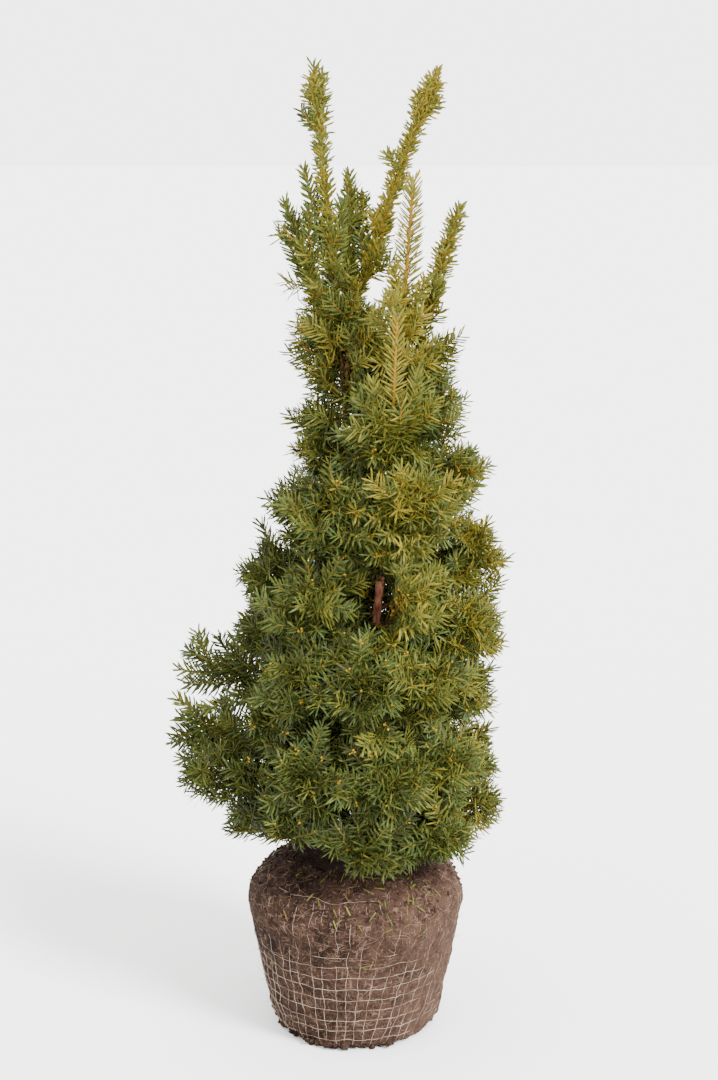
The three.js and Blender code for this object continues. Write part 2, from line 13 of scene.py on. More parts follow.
import bpy
import numpy as np
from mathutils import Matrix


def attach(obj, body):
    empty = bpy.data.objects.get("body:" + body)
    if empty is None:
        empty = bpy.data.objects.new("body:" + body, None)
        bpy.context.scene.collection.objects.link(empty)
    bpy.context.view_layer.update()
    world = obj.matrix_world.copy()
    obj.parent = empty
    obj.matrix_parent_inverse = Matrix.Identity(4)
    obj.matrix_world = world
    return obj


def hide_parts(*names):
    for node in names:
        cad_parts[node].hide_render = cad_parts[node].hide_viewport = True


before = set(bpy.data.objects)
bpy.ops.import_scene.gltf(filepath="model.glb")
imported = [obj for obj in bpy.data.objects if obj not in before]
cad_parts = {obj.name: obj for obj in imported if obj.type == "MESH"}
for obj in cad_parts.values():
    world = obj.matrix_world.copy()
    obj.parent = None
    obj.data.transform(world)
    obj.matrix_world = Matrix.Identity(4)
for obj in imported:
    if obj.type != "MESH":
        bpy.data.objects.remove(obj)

Array = np.ndarray
Random = np.random.Generator
Colour = tuple[float, float, float]
log = logging.getLogger("yew")
METRES = 0.001
UP = np.array([0.0, 0.0, 1.0])
RIGHT = np.array([1.0, 0.0, 0.0])
FRONTWARD = np.array([0.0, -1.0, 0.0])
LEVEL = np.array([1.0, 1.0, 0.0])


# ---- Vectors, random numbers and noise ----


def unit(vectors: Array) -> Array:
    """Vectors over their lengths, along the last axis."""
    return vectors / np.maximum(np.linalg.norm(vectors, axis=-1, keepdims=True), 1e-12)


def heading(azimuth: float, rise: float) -> Array:
    """Unit vector at an azimuth and a rise over the level, both in degrees."""
    a, r = math.radians(azimuth), math.radians(rise)
    return np.array([math.cos(r) * math.cos(a), math.cos(r) * math.sin(a), math.sin(r)])


def blend(first: Array | float, last: Array | float, share: Array | float):
    """Straight blend from the first value to the last."""
    return first + (last - first) * share


class Draws:
    """The frame's seeded random numbers: state x 1664525 + 1013904223, modulo 2^32."""

    def __init__(self, seed: int) -> None:
        """Starts the draws at (seed + 1) x 2654435761, modulo 2^32."""
        self.state = ((seed + 1) * 2654435761) % 2**32

    def __call__(self) -> float:
        """The next number from 0 to 1."""
        self.state = (self.state * 1664525 + 1013904223) % 2**32
        return self.state / 2**32


def lattice_noise(points: Array, seed: int) -> Array:
    """Smooth noise from -1 to 1.

    Every whole-numbered place has a hashed value, and a point blends the eight around it with
    the weights 3t^2 - 2t^3.

    Args:
        points: Places, in cells, along the last axis.
        seed: Picks one of many patterns.

    Returns:
        One value for each point.
    """
    cell = np.floor(points).astype(np.int64)
    part = points - cell
    part = part * part * (3 - 2 * part)
    total = np.zeros(points.shape[:-1])
    for corner in range(8):
        step = np.array([corner & 1, (corner >> 1) & 1, corner >> 2])
        x, y, z = np.moveaxis(cell + step, -1, 0)
        mixed = (x * 374761393 + y * 668265263 + z * 2147483647 + seed * 974634777) & 0xFFFFFFFF
        mixed = ((mixed ^ (mixed >> 13)) * 1274126177) & 0xFFFFFFFF
        value = ((mixed ^ (mixed >> 16)) & 0xFFFF) / 32767.5 - 1
        total += value * np.prod(np.where(step == 1, part, 1 - part), axis=-1)
    return total


def rough(points: Array, size: float, seed: int, layers: int = 4) -> Array:
    """Layered noise: each layer has half the size and half the strength of the one before.

    Args:
        points: Places in millimetres along the last axis.
        size: Size of the largest lumps in millimetres.
        seed: Picks one of many patterns.
        layers: Number of layers.

    Returns:
        One value, from about -1 to 1, for each point.
    """
    total = sum(
        lattice_noise(points * (2**k / size) + 7.3 * k, seed + k) / 2**k for k in range(layers)
    )
    return total / (2 - 2 ** (1 - layers))


# ---- Shader maths ----


class Signal:
    """A number or colour that varies over a surface. Formulas on numbers add Math nodes."""

    def __init__(self, graph: "Graph", socket: bpy.types.NodeSocket) -> None:
        """Wraps an output socket of a graph's node."""
        self.graph, self.socket = graph, socket

    def maths(self, operation: str, first: object, second: object) -> "Signal":
        """A Math node on two values or signals."""
        inputs = {0: first, 1: second}
        return self.graph.add("ShaderNodeMath", {"operation": operation}, inputs)

    def __add__(self, other: object) -> "Signal":
        """This value plus another."""
        return self.maths("ADD", self, other)

    def __radd__(self, other: object) -> "Signal":
        """Another value plus this."""
        return self.maths("ADD", other, self)

    def __sub__(self, other: object) -> "Signal":
        """This value less another."""
        return self.maths("SUBTRACT", self, other)

    def __rsub__(self, other: object) -> "Signal":
        """Another value less this."""
        return self.maths("SUBTRACT", other, self)

    def __mul__(self, other: object) -> "Signal":
        """This value times another."""
        return self.maths("MULTIPLY", self, other)

    def __rmul__(self, other: object) -> "Signal":
        """Another value times this."""
        return self.maths("MULTIPLY", other, self)


class Graph:
    """The nodes of one material."""

    noise_roughness: float = 0.55

    def __init__(self, name: str) -> None:
        """Makes an empty material with a Principled shader on its surface."""
        self.material = bpy.data.materials.new(name)
        self.material.use_nodes = True
        self.tree = self.material.node_tree
        self.shader = self.tree.nodes["Principled BSDF"]

    def add(
        self, kind: str, settings: dict[str, object], inputs: dict[object, object], output: object = 0
    ) -> Signal:
        """Adds one node.

        Args:
            kind: Blender's name of the node type.
            settings: Its properties, set first.
            inputs: Values or signals by the name or number of their socket.
            output: Name or number of the socket that is returned.

        Returns:
            The chosen output.
        """
        node = self.tree.nodes.new(kind)
        for key, value in settings.items():
            setattr(node, key, value)
        for key, value in inputs.items():
            self.feed(node.inputs[key], value)
        return Signal(self, node.outputs[output])

    def feed(self, socket: bpy.types.NodeSocket, value: object) -> None:
        """Links a signal to a socket, or sets a plain value on it."""
        if isinstance(value, Signal):
            self.tree.links.new(value.socket, socket)
        else:
            socket.default_value = value

    def place(self) -> Signal:
        """A point's place on the object, in metres."""
        return self.add("ShaderNodeTexCoord", {}, {}, "Object")

    def across(self) -> Signal:
        """A point's place from left to right, in metres."""
        return self.add("ShaderNodeSeparateXYZ", {}, {"Vector": self.place()}, "X")

    def noise(self, cells: float, detail: float = 2.0, stretch: Sequence[float] = (1, 1, 1)) -> Signal:
        """Noise from 0 to 1 with a number of cells to the metre, stretched along the axes."""
        scaled = self.add("ShaderNodeMapping", {}, {"Vector": self.place(), "Scale": tuple(stretch)})
        inputs = {"Vector": scaled, "Scale": cells, "Detail": detail, "Roughness": self.noise_roughness}
        return self.add("ShaderNodeTexNoise", {}, inputs)

    def between(self, value: Signal, low: float, high: float) -> Signal:
        """0 below the low value, 1 above the high one, and an even change between them."""
        inputs = {"Value": value, "From Min": low, "From Max": high}
        return self.add("ShaderNodeMapRange", {}, inputs)

    def mix(self, share: Signal, first: object, second: object) -> Signal:
        """Blends two colours."""
        settings = {"data_type": "RGBA"}
        return self.add("ShaderNodeMix", settings, {0: share, 6: first, 7: second}, 2)

    def relief(self, height: Signal, depth: float, strength: float) -> Signal:
        """Bump from a height of 0 to 1 over a depth in metres."""
        inputs = {"Height": height, "Distance": depth, "Strength": strength}
        return self.add("ShaderNodeBump", {}, inputs)

    def finish(self, **sockets: object) -> bpy.types.Material:
        """Feeds the shader's sockets by name, with _ for a space, and returns the material."""
        for key, value in sockets.items():
            self.feed(self.shader.inputs[key.replace("_", " ")], value)
        return self.material


def opaque(colour: Colour) -> tuple[float, float, float, float]:
    """A colour with full alpha."""
    return (*colour, 1.0)


@dataclass(frozen=True)
class NeedleFinish:
    """Waxy leaf: its colour changes from needle to needle and from spray to spray."""

    name: str
    dark: Colour
    light: Colour
    roughness: float = 0.45
    specular: float = 0.09
    needle_cells: float = 210.0
    spray_cells: float = 24.0
    needle_weight: float = 0.65
    contrast: tuple[float, float] = (0.36, 0.64)
    gloss_cells: float = 420.0
    gloss_change: float = 0.2

    def material(self) -> bpy.types.Material:
        """Builds the material."""
        g = Graph(self.name)
        needles = g.noise(self.needle_cells, 1.0) * self.needle_weight
        sprays = g.noise(self.spray_cells, 1.0) * (1 - self.needle_weight)
        share = g.between(needles + sprays, *self.contrast)
        colour = g.mix(share, opaque(self.dark), opaque(self.light))
        gloss = g.between(g.noise(self.gloss_cells), 0.2, 0.8) * self.gloss_change
        gloss = gloss + (self.roughness - self.gloss_change / 2)
        return g.finish(Base_Color=colour, Roughness=gloss, Specular_IOR_Level=self.specular)


@dataclass(frozen=True)
class BarkFinish:
    """Thin bark: fine fissures along the limb between warmer and darker flakes."""

    name: str
    dark: Colour
    light: Colour
    cells: float = 420.0
    stretch: float = 0.22
    roughness: float = 0.78
    specular: float = 0.12
    flakes_to_patch: float = 6.0
    flake_weight: float = 0.6
    contrast: tuple[float, float] = (0.36, 0.66)
    polish: float = 0.15
    depth: float = 0.0006
    strength: float = 0.6

    def material(self) -> bpy.types.Material:
        """Builds the material."""
        g = Graph(self.name)
        flakes = g.noise(self.cells, 3.0, (1, 1, self.stretch))
        patches = g.noise(self.cells / self.flakes_to_patch)
        mixed = flakes * self.flake_weight + patches * (1 - self.flake_weight)
        share = g.between(mixed, *self.contrast)
        return g.finish(
            Base_Color=g.mix(share, opaque(self.dark), opaque(self.light)),
            Roughness=self.roughness - self.polish * share,
            Specular_IOR_Level=self.specular,
            Normal=g.relief(flakes, self.depth, self.strength),
        )


@dataclass(frozen=True)
class SoilFinish:
    """Packed loam: warm clods, darker damp patches and pale fibre specks, with painted shade on its left
    side and painted light on its right.
    """

    name: str
    # The darker colour serves for damp patches and for the painted shade on the left, the lighter one for
    # drier loam and the painted light on the right.
    moist: Colour
    dry_and_lit: Colour
    speck: Colour
    # The side shifts the colour from left to right: painted shade on the left, painted light on the right.
    side: float = 0.75
    grain_cells: float = 420.0
    clod_cells: float = 85.0
    patch_cells: float = 16.0
    weights: tuple[float, float, float] = (0.40, 0.36, 0.24)
    contrast: tuple[float, float] = (0.38, 0.64)
    grain_height: float = 0.55
    depth: float = 0.003
    strength: float = 0.9
    roughness: float = 0.93
    specular: float = 0.06

    def material(self) -> bpy.types.Material:
        """Builds the material. It is darker on the left and lighter on the right by its side, as painted
        shade and painted light.
        """
        g = Graph(self.name)
        grains = g.noise(self.grain_cells, 4.0)
        clods = g.noise(self.clod_cells, 3.0)
        patches = g.noise(self.patch_cells)
        by_grain, by_clod, by_patch = self.weights
        # Painted shade and light: g.across() times the side darkens the left and lightens the right.
        mixed = grains * by_grain + clods * by_clod + patches * by_patch + g.across() * self.side
        ground = g.mix(g.between(mixed, *self.contrast), opaque(self.moist), opaque(self.dry_and_lit))
        upright = g.between(g.noise(300.0, 3.0, (1, 1, 0.25)), 0.60, 0.68)
        level = g.between(g.noise(260.0, 3.0, (0.3, 0.3, 1.4)), 0.61, 0.69)
        height = grains * self.grain_height + clods * (1 - self.grain_height)
        return g.finish(
            Base_Color=g.mix((upright + level) * 0.5, ground, opaque(self.speck)),
            Roughness=self.roughness,
            Specular_IOR_Level=self.specular,
            Normal=g.relief(height, self.depth, self.strength),
        )


@dataclass(frozen=True)
class StringFinish:
    """Spun string or root fibre, soiled in places."""

    name: str
    clean: Colour
    soiled: Colour
    spin_cells: float = 1500.0
    dirt_cells: float = 60.0
    spin_weight: float = 0.3
    contrast: tuple[float, float] = (0.4, 0.62)
    depth: float = 0.0003
    strength: float = 0.5
    roughness: float = 0.85
    specular: float = 0.1

    def material(self) -> bpy.types.Material:
        """Builds the material."""
        g = Graph(self.name)
        spin = g.noise(self.spin_cells, 1.0)
        mixed = g.noise(self.dirt_cells) * (1 - self.spin_weight) + spin * self.spin_weight
        dirt = g.between(mixed, *self.contrast)
        return g.finish(
            Base_Color=g.mix(dirt, opaque(self.clean), opaque(self.soiled)),
            Roughness=self.roughness,
            Specular_IOR_Level=self.specular,
            Normal=g.relief(spin, self.depth, self.strength),
        )


@dataclass(frozen=True)
class FloorFinish:
    """Pale matt studio floor with the faintest mottling."""

    name: str = "studio_floor"
    colour: Colour = (0.72, 0.715, 0.71)
    shade: Colour = (0.70, 0.695, 0.69)
    cells: float = 3.0
    roughness: float = 0.9

    def material(self) -> bpy.types.Material:
        """Builds the material."""
        g = Graph(self.name)
        colour = g.mix(g.noise(self.cells), opaque(self.colour), opaque(self.shade))
        return g.finish(Base_Color=colour, Roughness=self.roughness)


class Tone(Enum):
    """Needle colours, from the shaded inside of the crown to the sunlit tips."""

    SHADE = NeedleFinish("needle_shade", (0.012, 0.015, 0.0034), (0.028, 0.033, 0.007))
    DEEP = NeedleFinish("needle_deep", (0.017, 0.023, 0.0040), (0.042, 0.052, 0.009))
    BLUE = NeedleFinish("needle_blue_green", (0.017, 0.027, 0.0065), (0.042, 0.060, 0.014))
    MID = NeedleFinish("needle_mid", (0.029, 0.036, 0.0048), (0.070, 0.078, 0.0145))
    LIME = NeedleFinish("needle_lime", (0.048, 0.051, 0.0052), (0.102, 0.102, 0.016))
    GOLD = NeedleFinish("needle_gold", (0.081, 0.066, 0.0050), (0.158, 0.128, 0.016))
    UNDER = NeedleFinish("needle_underside", (0.034, 0.041, 0.006), (0.064, 0.072, 0.013), 0.6)
    UNDER_GOLD = NeedleFinish("needle_underside_gold", (0.078, 0.066, 0.006), (0.134, 0.112, 0.015), 0.6)
    WITHERED = NeedleFinish("needle_withered", (0.050, 0.030, 0.008), (0.110, 0.075, 0.020), 0.7)


class Bark(Enum):
    """Bark colours, from old wood to this year's shoots."""

    OLD = BarkFinish("bark_old", (0.150, 0.052, 0.028), (0.620, 0.260, 0.150))
    TWIG = BarkFinish("bark_twig", (0.040, 0.022, 0.007), (0.120, 0.070, 0.018), 900.0, 0.4)
    YOUNG = BarkFinish("bark_young", (0.062, 0.054, 0.008), (0.130, 0.098, 0.016), 900.0, 0.4, 0.6)
    AMBER = BarkFinish("bark_amber", (0.130, 0.056, 0.003), (0.200, 0.088, 0.004), 900.0, 0.4, 0.6)


BUD = BarkFinish("bud_ochre", (0.165, 0.090, 0.004), (0.260, 0.150, 0.008), 900.0, 1.0, 0.6)
SOIL = SoilFinish("soil_loam", (0.007, 0.0035, 0.0022), (0.049, 0.0275, 0.0187), (0.118, 0.075, 0.053))
HUMUS = SoilFinish("soil_humus", (0.006, 0.0030, 0.0020), (0.040, 0.021, 0.0150), (0.100, 0.061, 0.044))
STRING = StringFinish("net_string", (0.290, 0.222, 0.178), (0.095, 0.062, 0.045))
FIBRE = StringFinish("root_fibre", (0.150, 0.098, 0.066), (0.045, 0.024, 0.015))


# ---- Meshes ----


@dataclass
class Surface:
    """Vertices in millimetres, faces of three corners, and each face's material number."""

    vertices: Array
    faces: Array
    slots: Array

    @staticmethod
    def join(parts: Iterable["Surface"]) -> "Surface":
        """All parts as one surface, their corners renumbered."""
        parts = [part for part in parts if len(part.faces)]
        starts = np.cumsum([0] + [len(part.vertices) for part in parts])
        return Surface(
            np.concatenate([part.vertices for part in parts]),
            np.concatenate([part.faces + start for part, start in zip(parts, starts)]),
            np.concatenate([part.slots for part in parts]),
        )

    @staticmethod
    def copies(vertices: Array, faces: Array, slots: Array) -> "Surface":
        """Copies of one shape.

        Args:
            vertices: Corners, as (copies, corners, 3).
            faces: Faces of one copy.
            slots: Material number of each copy, or of each face of each copy.

        Returns:
            The copies as one surface.
        """
        starts = np.arange(len(vertices)) * vertices.shape[1]
        slots = np.broadcast_to(slots.reshape(len(vertices), -1), (len(vertices), len(faces)))
        all_faces = faces + starts[:, None, None]
        return Surface(vertices.reshape(-1, 3), all_faces.reshape(-1, 3), slots.ravel())

    def piece(
        self, name: str, finishes: Sequence[object], stands_for: Sequence[str], slot: str,
        smooth: bool = True,
    ) -> None:
        """Makes the surface a piece of the object, riding on the plant.

        Args:
            name: Name of the piece.
            finishes: Its finishes, in the order of the faces' material numbers.
            stands_for: Nodes of the frame that it replaces.
            slot: The record's material slot. It is not used.
            smooth: Whether its faces are shaded as one curved skin.
        """
        mesh = bpy.data.meshes.new(name)
        mesh.vertices.add(len(self.vertices))
        mesh.vertices.foreach_set("co", (self.vertices * METRES).astype(np.float32).ravel())
        mesh.loops.add(self.faces.size)
        mesh.loops.foreach_set("vertex_index", self.faces.astype(np.int32).ravel())
        mesh.polygons.add(len(self.faces))
        mesh.polygons.foreach_set("loop_start", np.arange(0, self.faces.size, 3, dtype=np.int32))
        for finish in finishes:
            mesh.materials.append(material_of(finish))
        mesh.polygons.foreach_set("material_index", self.slots.astype(np.int32))
        mesh.polygons.foreach_set("use_smooth", np.full(len(self.faces), smooth))
        mesh.update(calc_edges=True)
        made = bpy.data.objects.new(name, mesh)
        bpy.context.scene.collection.objects.link(made)
        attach(made, "root")
        if stands_for:
            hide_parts(*stands_for)
        log.info("%s: %d triangles", name, len(self.faces))


MATERIALS: dict[str, bpy.types.Material] = {}


def material_of(finish: object) -> bpy.types.Material:
    """The material of a finish, or of an option that holds one, built once."""
    finish = finish.value if isinstance(finish, Enum) else finish
    if finish.name not in MATERIALS:
        MATERIALS[finish.name] = finish.material()
    return MATERIALS[finish.name]


def wall_faces(rings: int, sides: int, first: int = 0) -> Array:
    """Two triangles for each side between one ring of corners and the next.

    Args:
        rings: Number of rings.
        sides: Corners of a ring.
        first: Number of the first ring's first corner.

    Returns:
        The corners' numbers, a row for each triangle.
    """
    ring = np.arange(sides)
    start = first + np.arange(rings - 1)[:, None] * sides
    a, b = start + ring, start + (ring + 1) % sides
    return np.stack([a, b, b + sides, a, b + sides, a + sides], axis=-1).reshape(-1, 3)


def point_faces(point: int, ring: int, sides: int, below: bool) -> Array:
    """Triangles between a ring of corners and a point below or above it.

    Args:
        point: Number of the point.
        ring: Number of the ring's first corner.
        sides: Corners of the ring.
        below: Whether the point is below the ring.

    Returns:
        The corners' numbers, a row for each triangle.
    """
    corner = np.arange(sides)
    edge = [ring + corner, ring + (corner + 1) % sides]
    return np.stack([np.full(sides, point), *(edge[::-1] if below else edge)], axis=-1)


def ball(lifts: Sequence[float], radii: Sequence[float], sides: int) -> tuple[Array, Array]:
    """A closed unit ball of rings between a bottom point and a top point.

    Args:
        lifts: Height of each ring.
        radii: Radius of each ring.
        sides: Corners of a ring.

    Returns:
        The corners and the faces.
    """
    turn = np.arange(sides) * 2 * np.pi / sides
    lift, radius = np.array(lifts)[:, None], np.array(radii)[:, None]
    rings = np.stack([radius * np.cos(turn), radius * np.sin(turn), lift + 0 * turn], axis=-1)
    corners = np.concatenate([[-UP], rings.reshape(-1, 3), [UP]])
    top = len(corners) - 1
    walls = wall_faces(len(lift), sides, 1)
    ends = [point_faces(0, 1, sides, True), point_faces(top, top - sides, sides, False)]
    return corners, np.concatenate([walls, *ends])


# Rise of a line over which its rings are laid out from RIGHT in place of UP.
STEEP = 0.88


def tubes(
    lines: Array, radii: Array, sides: int, slots: Array,
    relief: Callable[[Array], Array] | None = None,
) -> Surface:
    """Closed tubes round many lines at once.

    A ring round a point with tangent t has the corners p + r (cos a · first + sin a · second),
    where first = side x t and second = t x first.

    Args:
        lines: Points of each line, as (lines, points, 3).
        radii: Radius at each point, as (lines, points).
        sides: Corners of a ring.
        slots: Material number of each line, or of each stretch of each line.
        relief: Gives what is added to the radius at each corner.

    Returns:
        The tubes as one surface.
    """
    count, steps, _ = lines.shape
    tangents = unit(np.gradient(lines, axis=1))
    steep = np.abs(tangents[:, :1, 2:]) > STEEP
    first = unit(np.cross(np.where(steep, RIGHT, UP), tangents))
    second = np.cross(tangents, first)
    turn = np.arange(sides) * 2 * np.pi / sides
    out = (
        first[:, :, None] * np.cos(turn)[None, None, :, None]
        + second[:, :, None] * np.sin(turn)[None, None, :, None]
    )
    corners = lines[:, :, None] + out * radii[:, :, None, None]
    if relief is not None:
        corners = corners + out * relief(corners)[..., None]
    fan = np.arange(1, sides - 1)
    root = np.stack([np.zeros_like(fan), fan + 1, fan], axis=-1)
    end = np.stack([np.zeros_like(fan), fan, fan + 1], axis=-1) + (steps - 1) * sides
    faces = np.concatenate([wall_faces(steps, sides), root, end])
    slots = np.broadcast_to(slots.reshape(count, -1), (count, steps - 1))
    wall_slots = np.repeat(slots, 2 * sides, axis=1)
    cap_slots = np.repeat(slots[:, [0, -1]], sides - 2, axis=1)
    all_slots = np.concatenate([wall_slots, cap_slots], axis=1)
    return Surface.copies(corners.reshape(count, -1, 3), faces, all_slots)


# One needle: left and right corner of its base, left edge, right edge and midrib further out, and
# its tip. The faces of its lower side are marked.
NEEDLE_FACES = np.array([
    [0, 3, 1], [0, 2, 3], [0, 4, 2], [0, 1, 4], [1, 3, 4], [2, 4, 5], [4, 3, 5], [3, 2, 5],
])
NEEDLE_UNDERSIDE = np.array([1, 1, 0, 0, 0, 0, 0, 1], dtype=bool)
# Share of the length, and share of the full width there, at the base and at the two edges.
NEEDLE_EDGES = ((0.0, 0.75), (0.74, 0.95))
# Share of the length at which the midrib stands up, and its rise as a share of the full width.
NEEDLE_RIB = (0.62, 0.24)


@dataclass
class Needles:
    """Many needles as arrays: place of the base, heading there and at the tip, upper side, size."""

    base: Array
    start: Array
    end: Array
    top: Array
    length: Array
    width: Array
    tone: Array

    @staticmethod
    def join(parts: Sequence["Needles"]) -> "Needles":
        """All parts as one set."""
        names = [each.name for each in fields(Needles)]
        return Needles(*(np.concatenate([getattr(part, name) for part in parts]) for name in names))

    def keep(self, wanted: Array) -> "Needles":
        """The needles that are marked."""
        return Needles(*(getattr(self, each.name)[wanted] for each in fields(Needles)))

    def line(self, share: float) -> Array:
        """Midline at a share s of the length: base + length (s start + s^2/2 (end - start))."""
        along = self.start * share + (self.end - self.start) * (share**2 / 2)
        return self.base + along * self.length[:, None]

    def surface(self, underside: Callable[[Array], Array]) -> Surface:
        """Closed blades of eight triangles.

        Args:
            underside: Gives the material number of the lower side from that of the upper one.

        Returns:
            The needles as one surface.
        """
        edges = []
        for share, wide in NEEDLE_EDGES:
            heading_here = unit(blend(self.start, self.end, share))
            top = unit(self.top - heading_here * np.sum(self.top * heading_here, -1, keepdims=True))
            side = np.cross(heading_here, top) * (self.width * wide / 2)[:, None]
            edges += [self.line(share) - side, self.line(share) + side]
        share, rise = NEEDLE_RIB
        rib = self.line(share) + top * (self.width * rise)[:, None]
        vertices = np.stack([*edges, rib, self.line(1.0)], axis=1)
        upper = self.tone[:, None]
        slots = np.where(NEEDLE_UNDERSIDE, underside(upper), upper)
        return Surface.copies(vertices, NEEDLE_FACES, slots)


# ---- Limbs ----


@dataclass(frozen=True)
class Bezier:
    """A quadratic or cubic curve through its first and last control points."""

    points: tuple[tuple[float, float, float], ...]

    @staticmethod
    def rising(start: Array, direction: Array, length: float, lift: float) -> "Bezier":
        """Straight along a direction, the tip bent up by lift x length."""
        middle = start + direction * length / 2
        end = start + direction * length + UP * lift * length
        return Bezier(tuple(map(tuple, (start, middle, end))))

    @staticmethod
    def reaching(start: Array, tip: Array, lift: float) -> "Bezier":
        """Sets out below the straight way to a tip, and bends up towards it by lift x length."""
        way = tip - start
        length = float(np.linalg.norm(way))
        return Bezier.rising(start, unit(way - UP * lift * length), length, lift)

    def at(self, shares: Array | float) -> Array:
        """Points at shares s of the curve: sum of C(n, i) (1 - s)^(n - i) s^i times point i."""
        s = np.asarray(shares, dtype=float)[..., None]
        degree = len(self.points) - 1
        return sum(
            math.comb(degree, i) * (1 - s) ** (degree - i) * s**i * np.array(point)
            for i, point in enumerate(self.points)
        )

    def longer(self, by: float) -> "Bezier":
        """The same curve drawn out from its start by a length."""
        start = np.array(self.points[0])
        scale = 1 + by / self.length()
        return Bezier(tuple(tuple(start + (np.array(point) - start) * scale) for point in self.points))

    def tangent(self, shares: Array | float) -> Array:
        """Unit tangents at shares of the curve, from the points a hair to each side."""
        s = np.asarray(shares, dtype=float)
        return unit(self.at(np.minimum(s + 1e-4, 1)) - self.at(np.maximum(s - 1e-4, 0)))

    def across(self, share: float) -> tuple[Array, Array, Array]:
        """Tangent at a share, and two unit vectors across it, as the frame has them."""
        side = UP if abs(self.tangent(0.0)[2]) < STEEP else RIGHT
        tangent = self.tangent(share)
        first = unit(np.cross(side, tangent))
        return tangent, first, np.cross(tangent, first)

    def leaning(self, share: float, lean: float, turn: float) -> Array:
        """Unit vector at a lean from the tangent and at a turn round it, both in degrees."""
        tangent, first, second = self.across(share)
        a, b = math.radians(lean), math.radians(turn)
        return tangent * math.cos(a) + (first * math.cos(b) + second * math.sin(b)) * math.sin(a)

    def length(self) -> float:
        """Length as the sum of 200 chords."""
        return float(np.linalg.norm(np.diff(self.at(np.linspace(0, 1, 201)), axis=0), axis=1).sum())

    def share_at_height(self, height: float) -> float:
        """Share at which a rising curve passes a height, by halving."""
        low, high = 0.0, 1.0
        for _ in range(40):
            middle = (low + high) / 2
            low, high = (middle, high) if self.at(middle)[2] < height else (low, middle)
        return low


@dataclass(frozen=True)
class Limb:
    """One tapering limb along a curve."""

    name: str
    curve: Bezier
    base_radius: float
    tip_radius: float
    flare: float = 0.0
    flare_height: float = 1.0

    def radius(self, shares: Array) -> Array:
        """Even taper, and a root flare that fades as exp(-rise / flare_height)."""
        rise = self.curve.at(shares)[..., 2] - self.curve.at(0.0)[2]
        taper = self.base_radius + shares * (self.tip_radius - self.base_radius)
        return taper + self.flare * np.exp(-rise / self.flare_height)

    def distance(self, points: Array) -> Array:
        """Distance of points from the limb's skin, below zero inside it."""
        shares = np.linspace(0, 1, max(2, int(self.curve.length() / 5)))
        gaps = np.linalg.norm(points[..., None, :] - self.curve.at(shares), axis=-1)
        return (gaps - self.radius(shares)).min(axis=-1)


TRUNK = Limb(
    "trunk", Bezier(((2, 0, 209.3), (12, 4, 410), (38, -12, 610), (50, -18, 800))), 7.6, 2.8, 4.5, 14
)
# Columns: name, parent, height on it, control points, base and tip radius.
LEADERS = (
    ("left_leader", "trunk", 330, ((-14, 14, 460), (2, 10, 650), (-20, 4, 840)), 5.0, 2.4),
    ("second_leader", "left_leader", 760, ((-10, 14, 790), (-8, 18, 820), (-4, 16, 852)), 2.8, 2.2),
    ("right_leader", "trunk", 690, ((50, -10, 730), (60, 4, 765), (68, 8, 805)), 2.9, 2.2),
)
# Columns: name, parent, height on it, azimuth, rise, length.
BOUGHS = (
    ("skirt_right_bough", "trunk", 236, 5, 10, 55),
    ("far_left_bough", "trunk", 302, 182, 19, 78),
    ("far_left_upper_bough", "left_leader", 366, 176, 24, 72),
)
BOUGH_BASE, BOUGH_TIP, BOUGH_LIFT = 4.4, 3.0, 0.04


def grow_limbs() -> dict[str, Limb]:
    """Every limb by name, parents first."""
    limbs = {"trunk": TRUNK}
    for name, parent, height, route, base, tip in LEADERS:
        line = limbs[parent].curve
        start = tuple(line.at(line.share_at_height(height)))
        limbs[name] = Limb(name, Bezier((start, *route)), base, tip)
    for name, parent, height, azimuth, rise, length in BOUGHS:
        line = limbs[parent].curve
        start = line.at(line.share_at_height(height))
        curve = Bezier.rising(start, heading(azimuth, rise), length, BOUGH_LIFT)
        limbs[name] = Limb(name, curve, BOUGH_BASE, BOUGH_TIP)
    return limbs


@dataclass
class Wood:
    """The trunk, leaders and boughs with flaking bark."""

    limbs: dict[str, Limb]
    sides: int = 28
    pitch: float = 1.5
    ridge: float = 0.34
    ridge_size: float = 3.4
    ridge_stretch: float = 0.3
    bulge: float = 0.45
    bulge_size: float = 26.0
    young_from: float = 0.86

    def relief(self, corners: Array) -> Array:
        """Bark over the even radius: long flakes, and slow bulges where twigs have been."""
        long = corners * np.array([1, 1, self.ridge_stretch])
        bulges = self.bulge * rough(corners, self.bulge_size, 12, 2)
        return self.ridge * rough(long, self.ridge_size, 11) + bulges

    def build(self) -> None:
        """Makes one piece of each limb."""
        for limb in self.limbs.values():
            steps = int(limb.curve.length() / self.pitch)
            shares = np.linspace(0, 1, steps)
            slots = (shares[1:] > self.young_from).astype(int)
            made = tubes(
                limb.curve.at(shares)[None], limb.radius(shares)[None], self.sides, slots[None],
                self.relief,
            )
            made.piece(f"bark_{limb.name}", [Bark.OLD, Bark.TWIG], [limb.name], "bark")


# ---- Masses of foliage ----


class Zone(Enum):
    """Levels of the crown. Each is one piece of needles and one of twigs.

    Its values are its name, the height up to which a spray straight off a limb belongs to it, and
    the record's slot of its needles.
    """

    SKIRT = ("skirt", 290.0, "needles_deep_green")
    LOW = ("low", 375.0, "needles_deep_green")
    MIDDLE = ("middle", 465.0, "needles_green")
    UPPER = ("upper", 570.0, "needles_green")
    HIGH = ("high", 680.0, "needles_green")
    TOP = ("top", 800.0, "needles_yellow_green")
    PLUMES = ("plumes", math.inf, "needles_yellow_green")

    @staticmethod
    def at(height: float) -> "Zone":
        """The level at a height."""
        return next(zone for zone in Zone if height < zone.value[1])


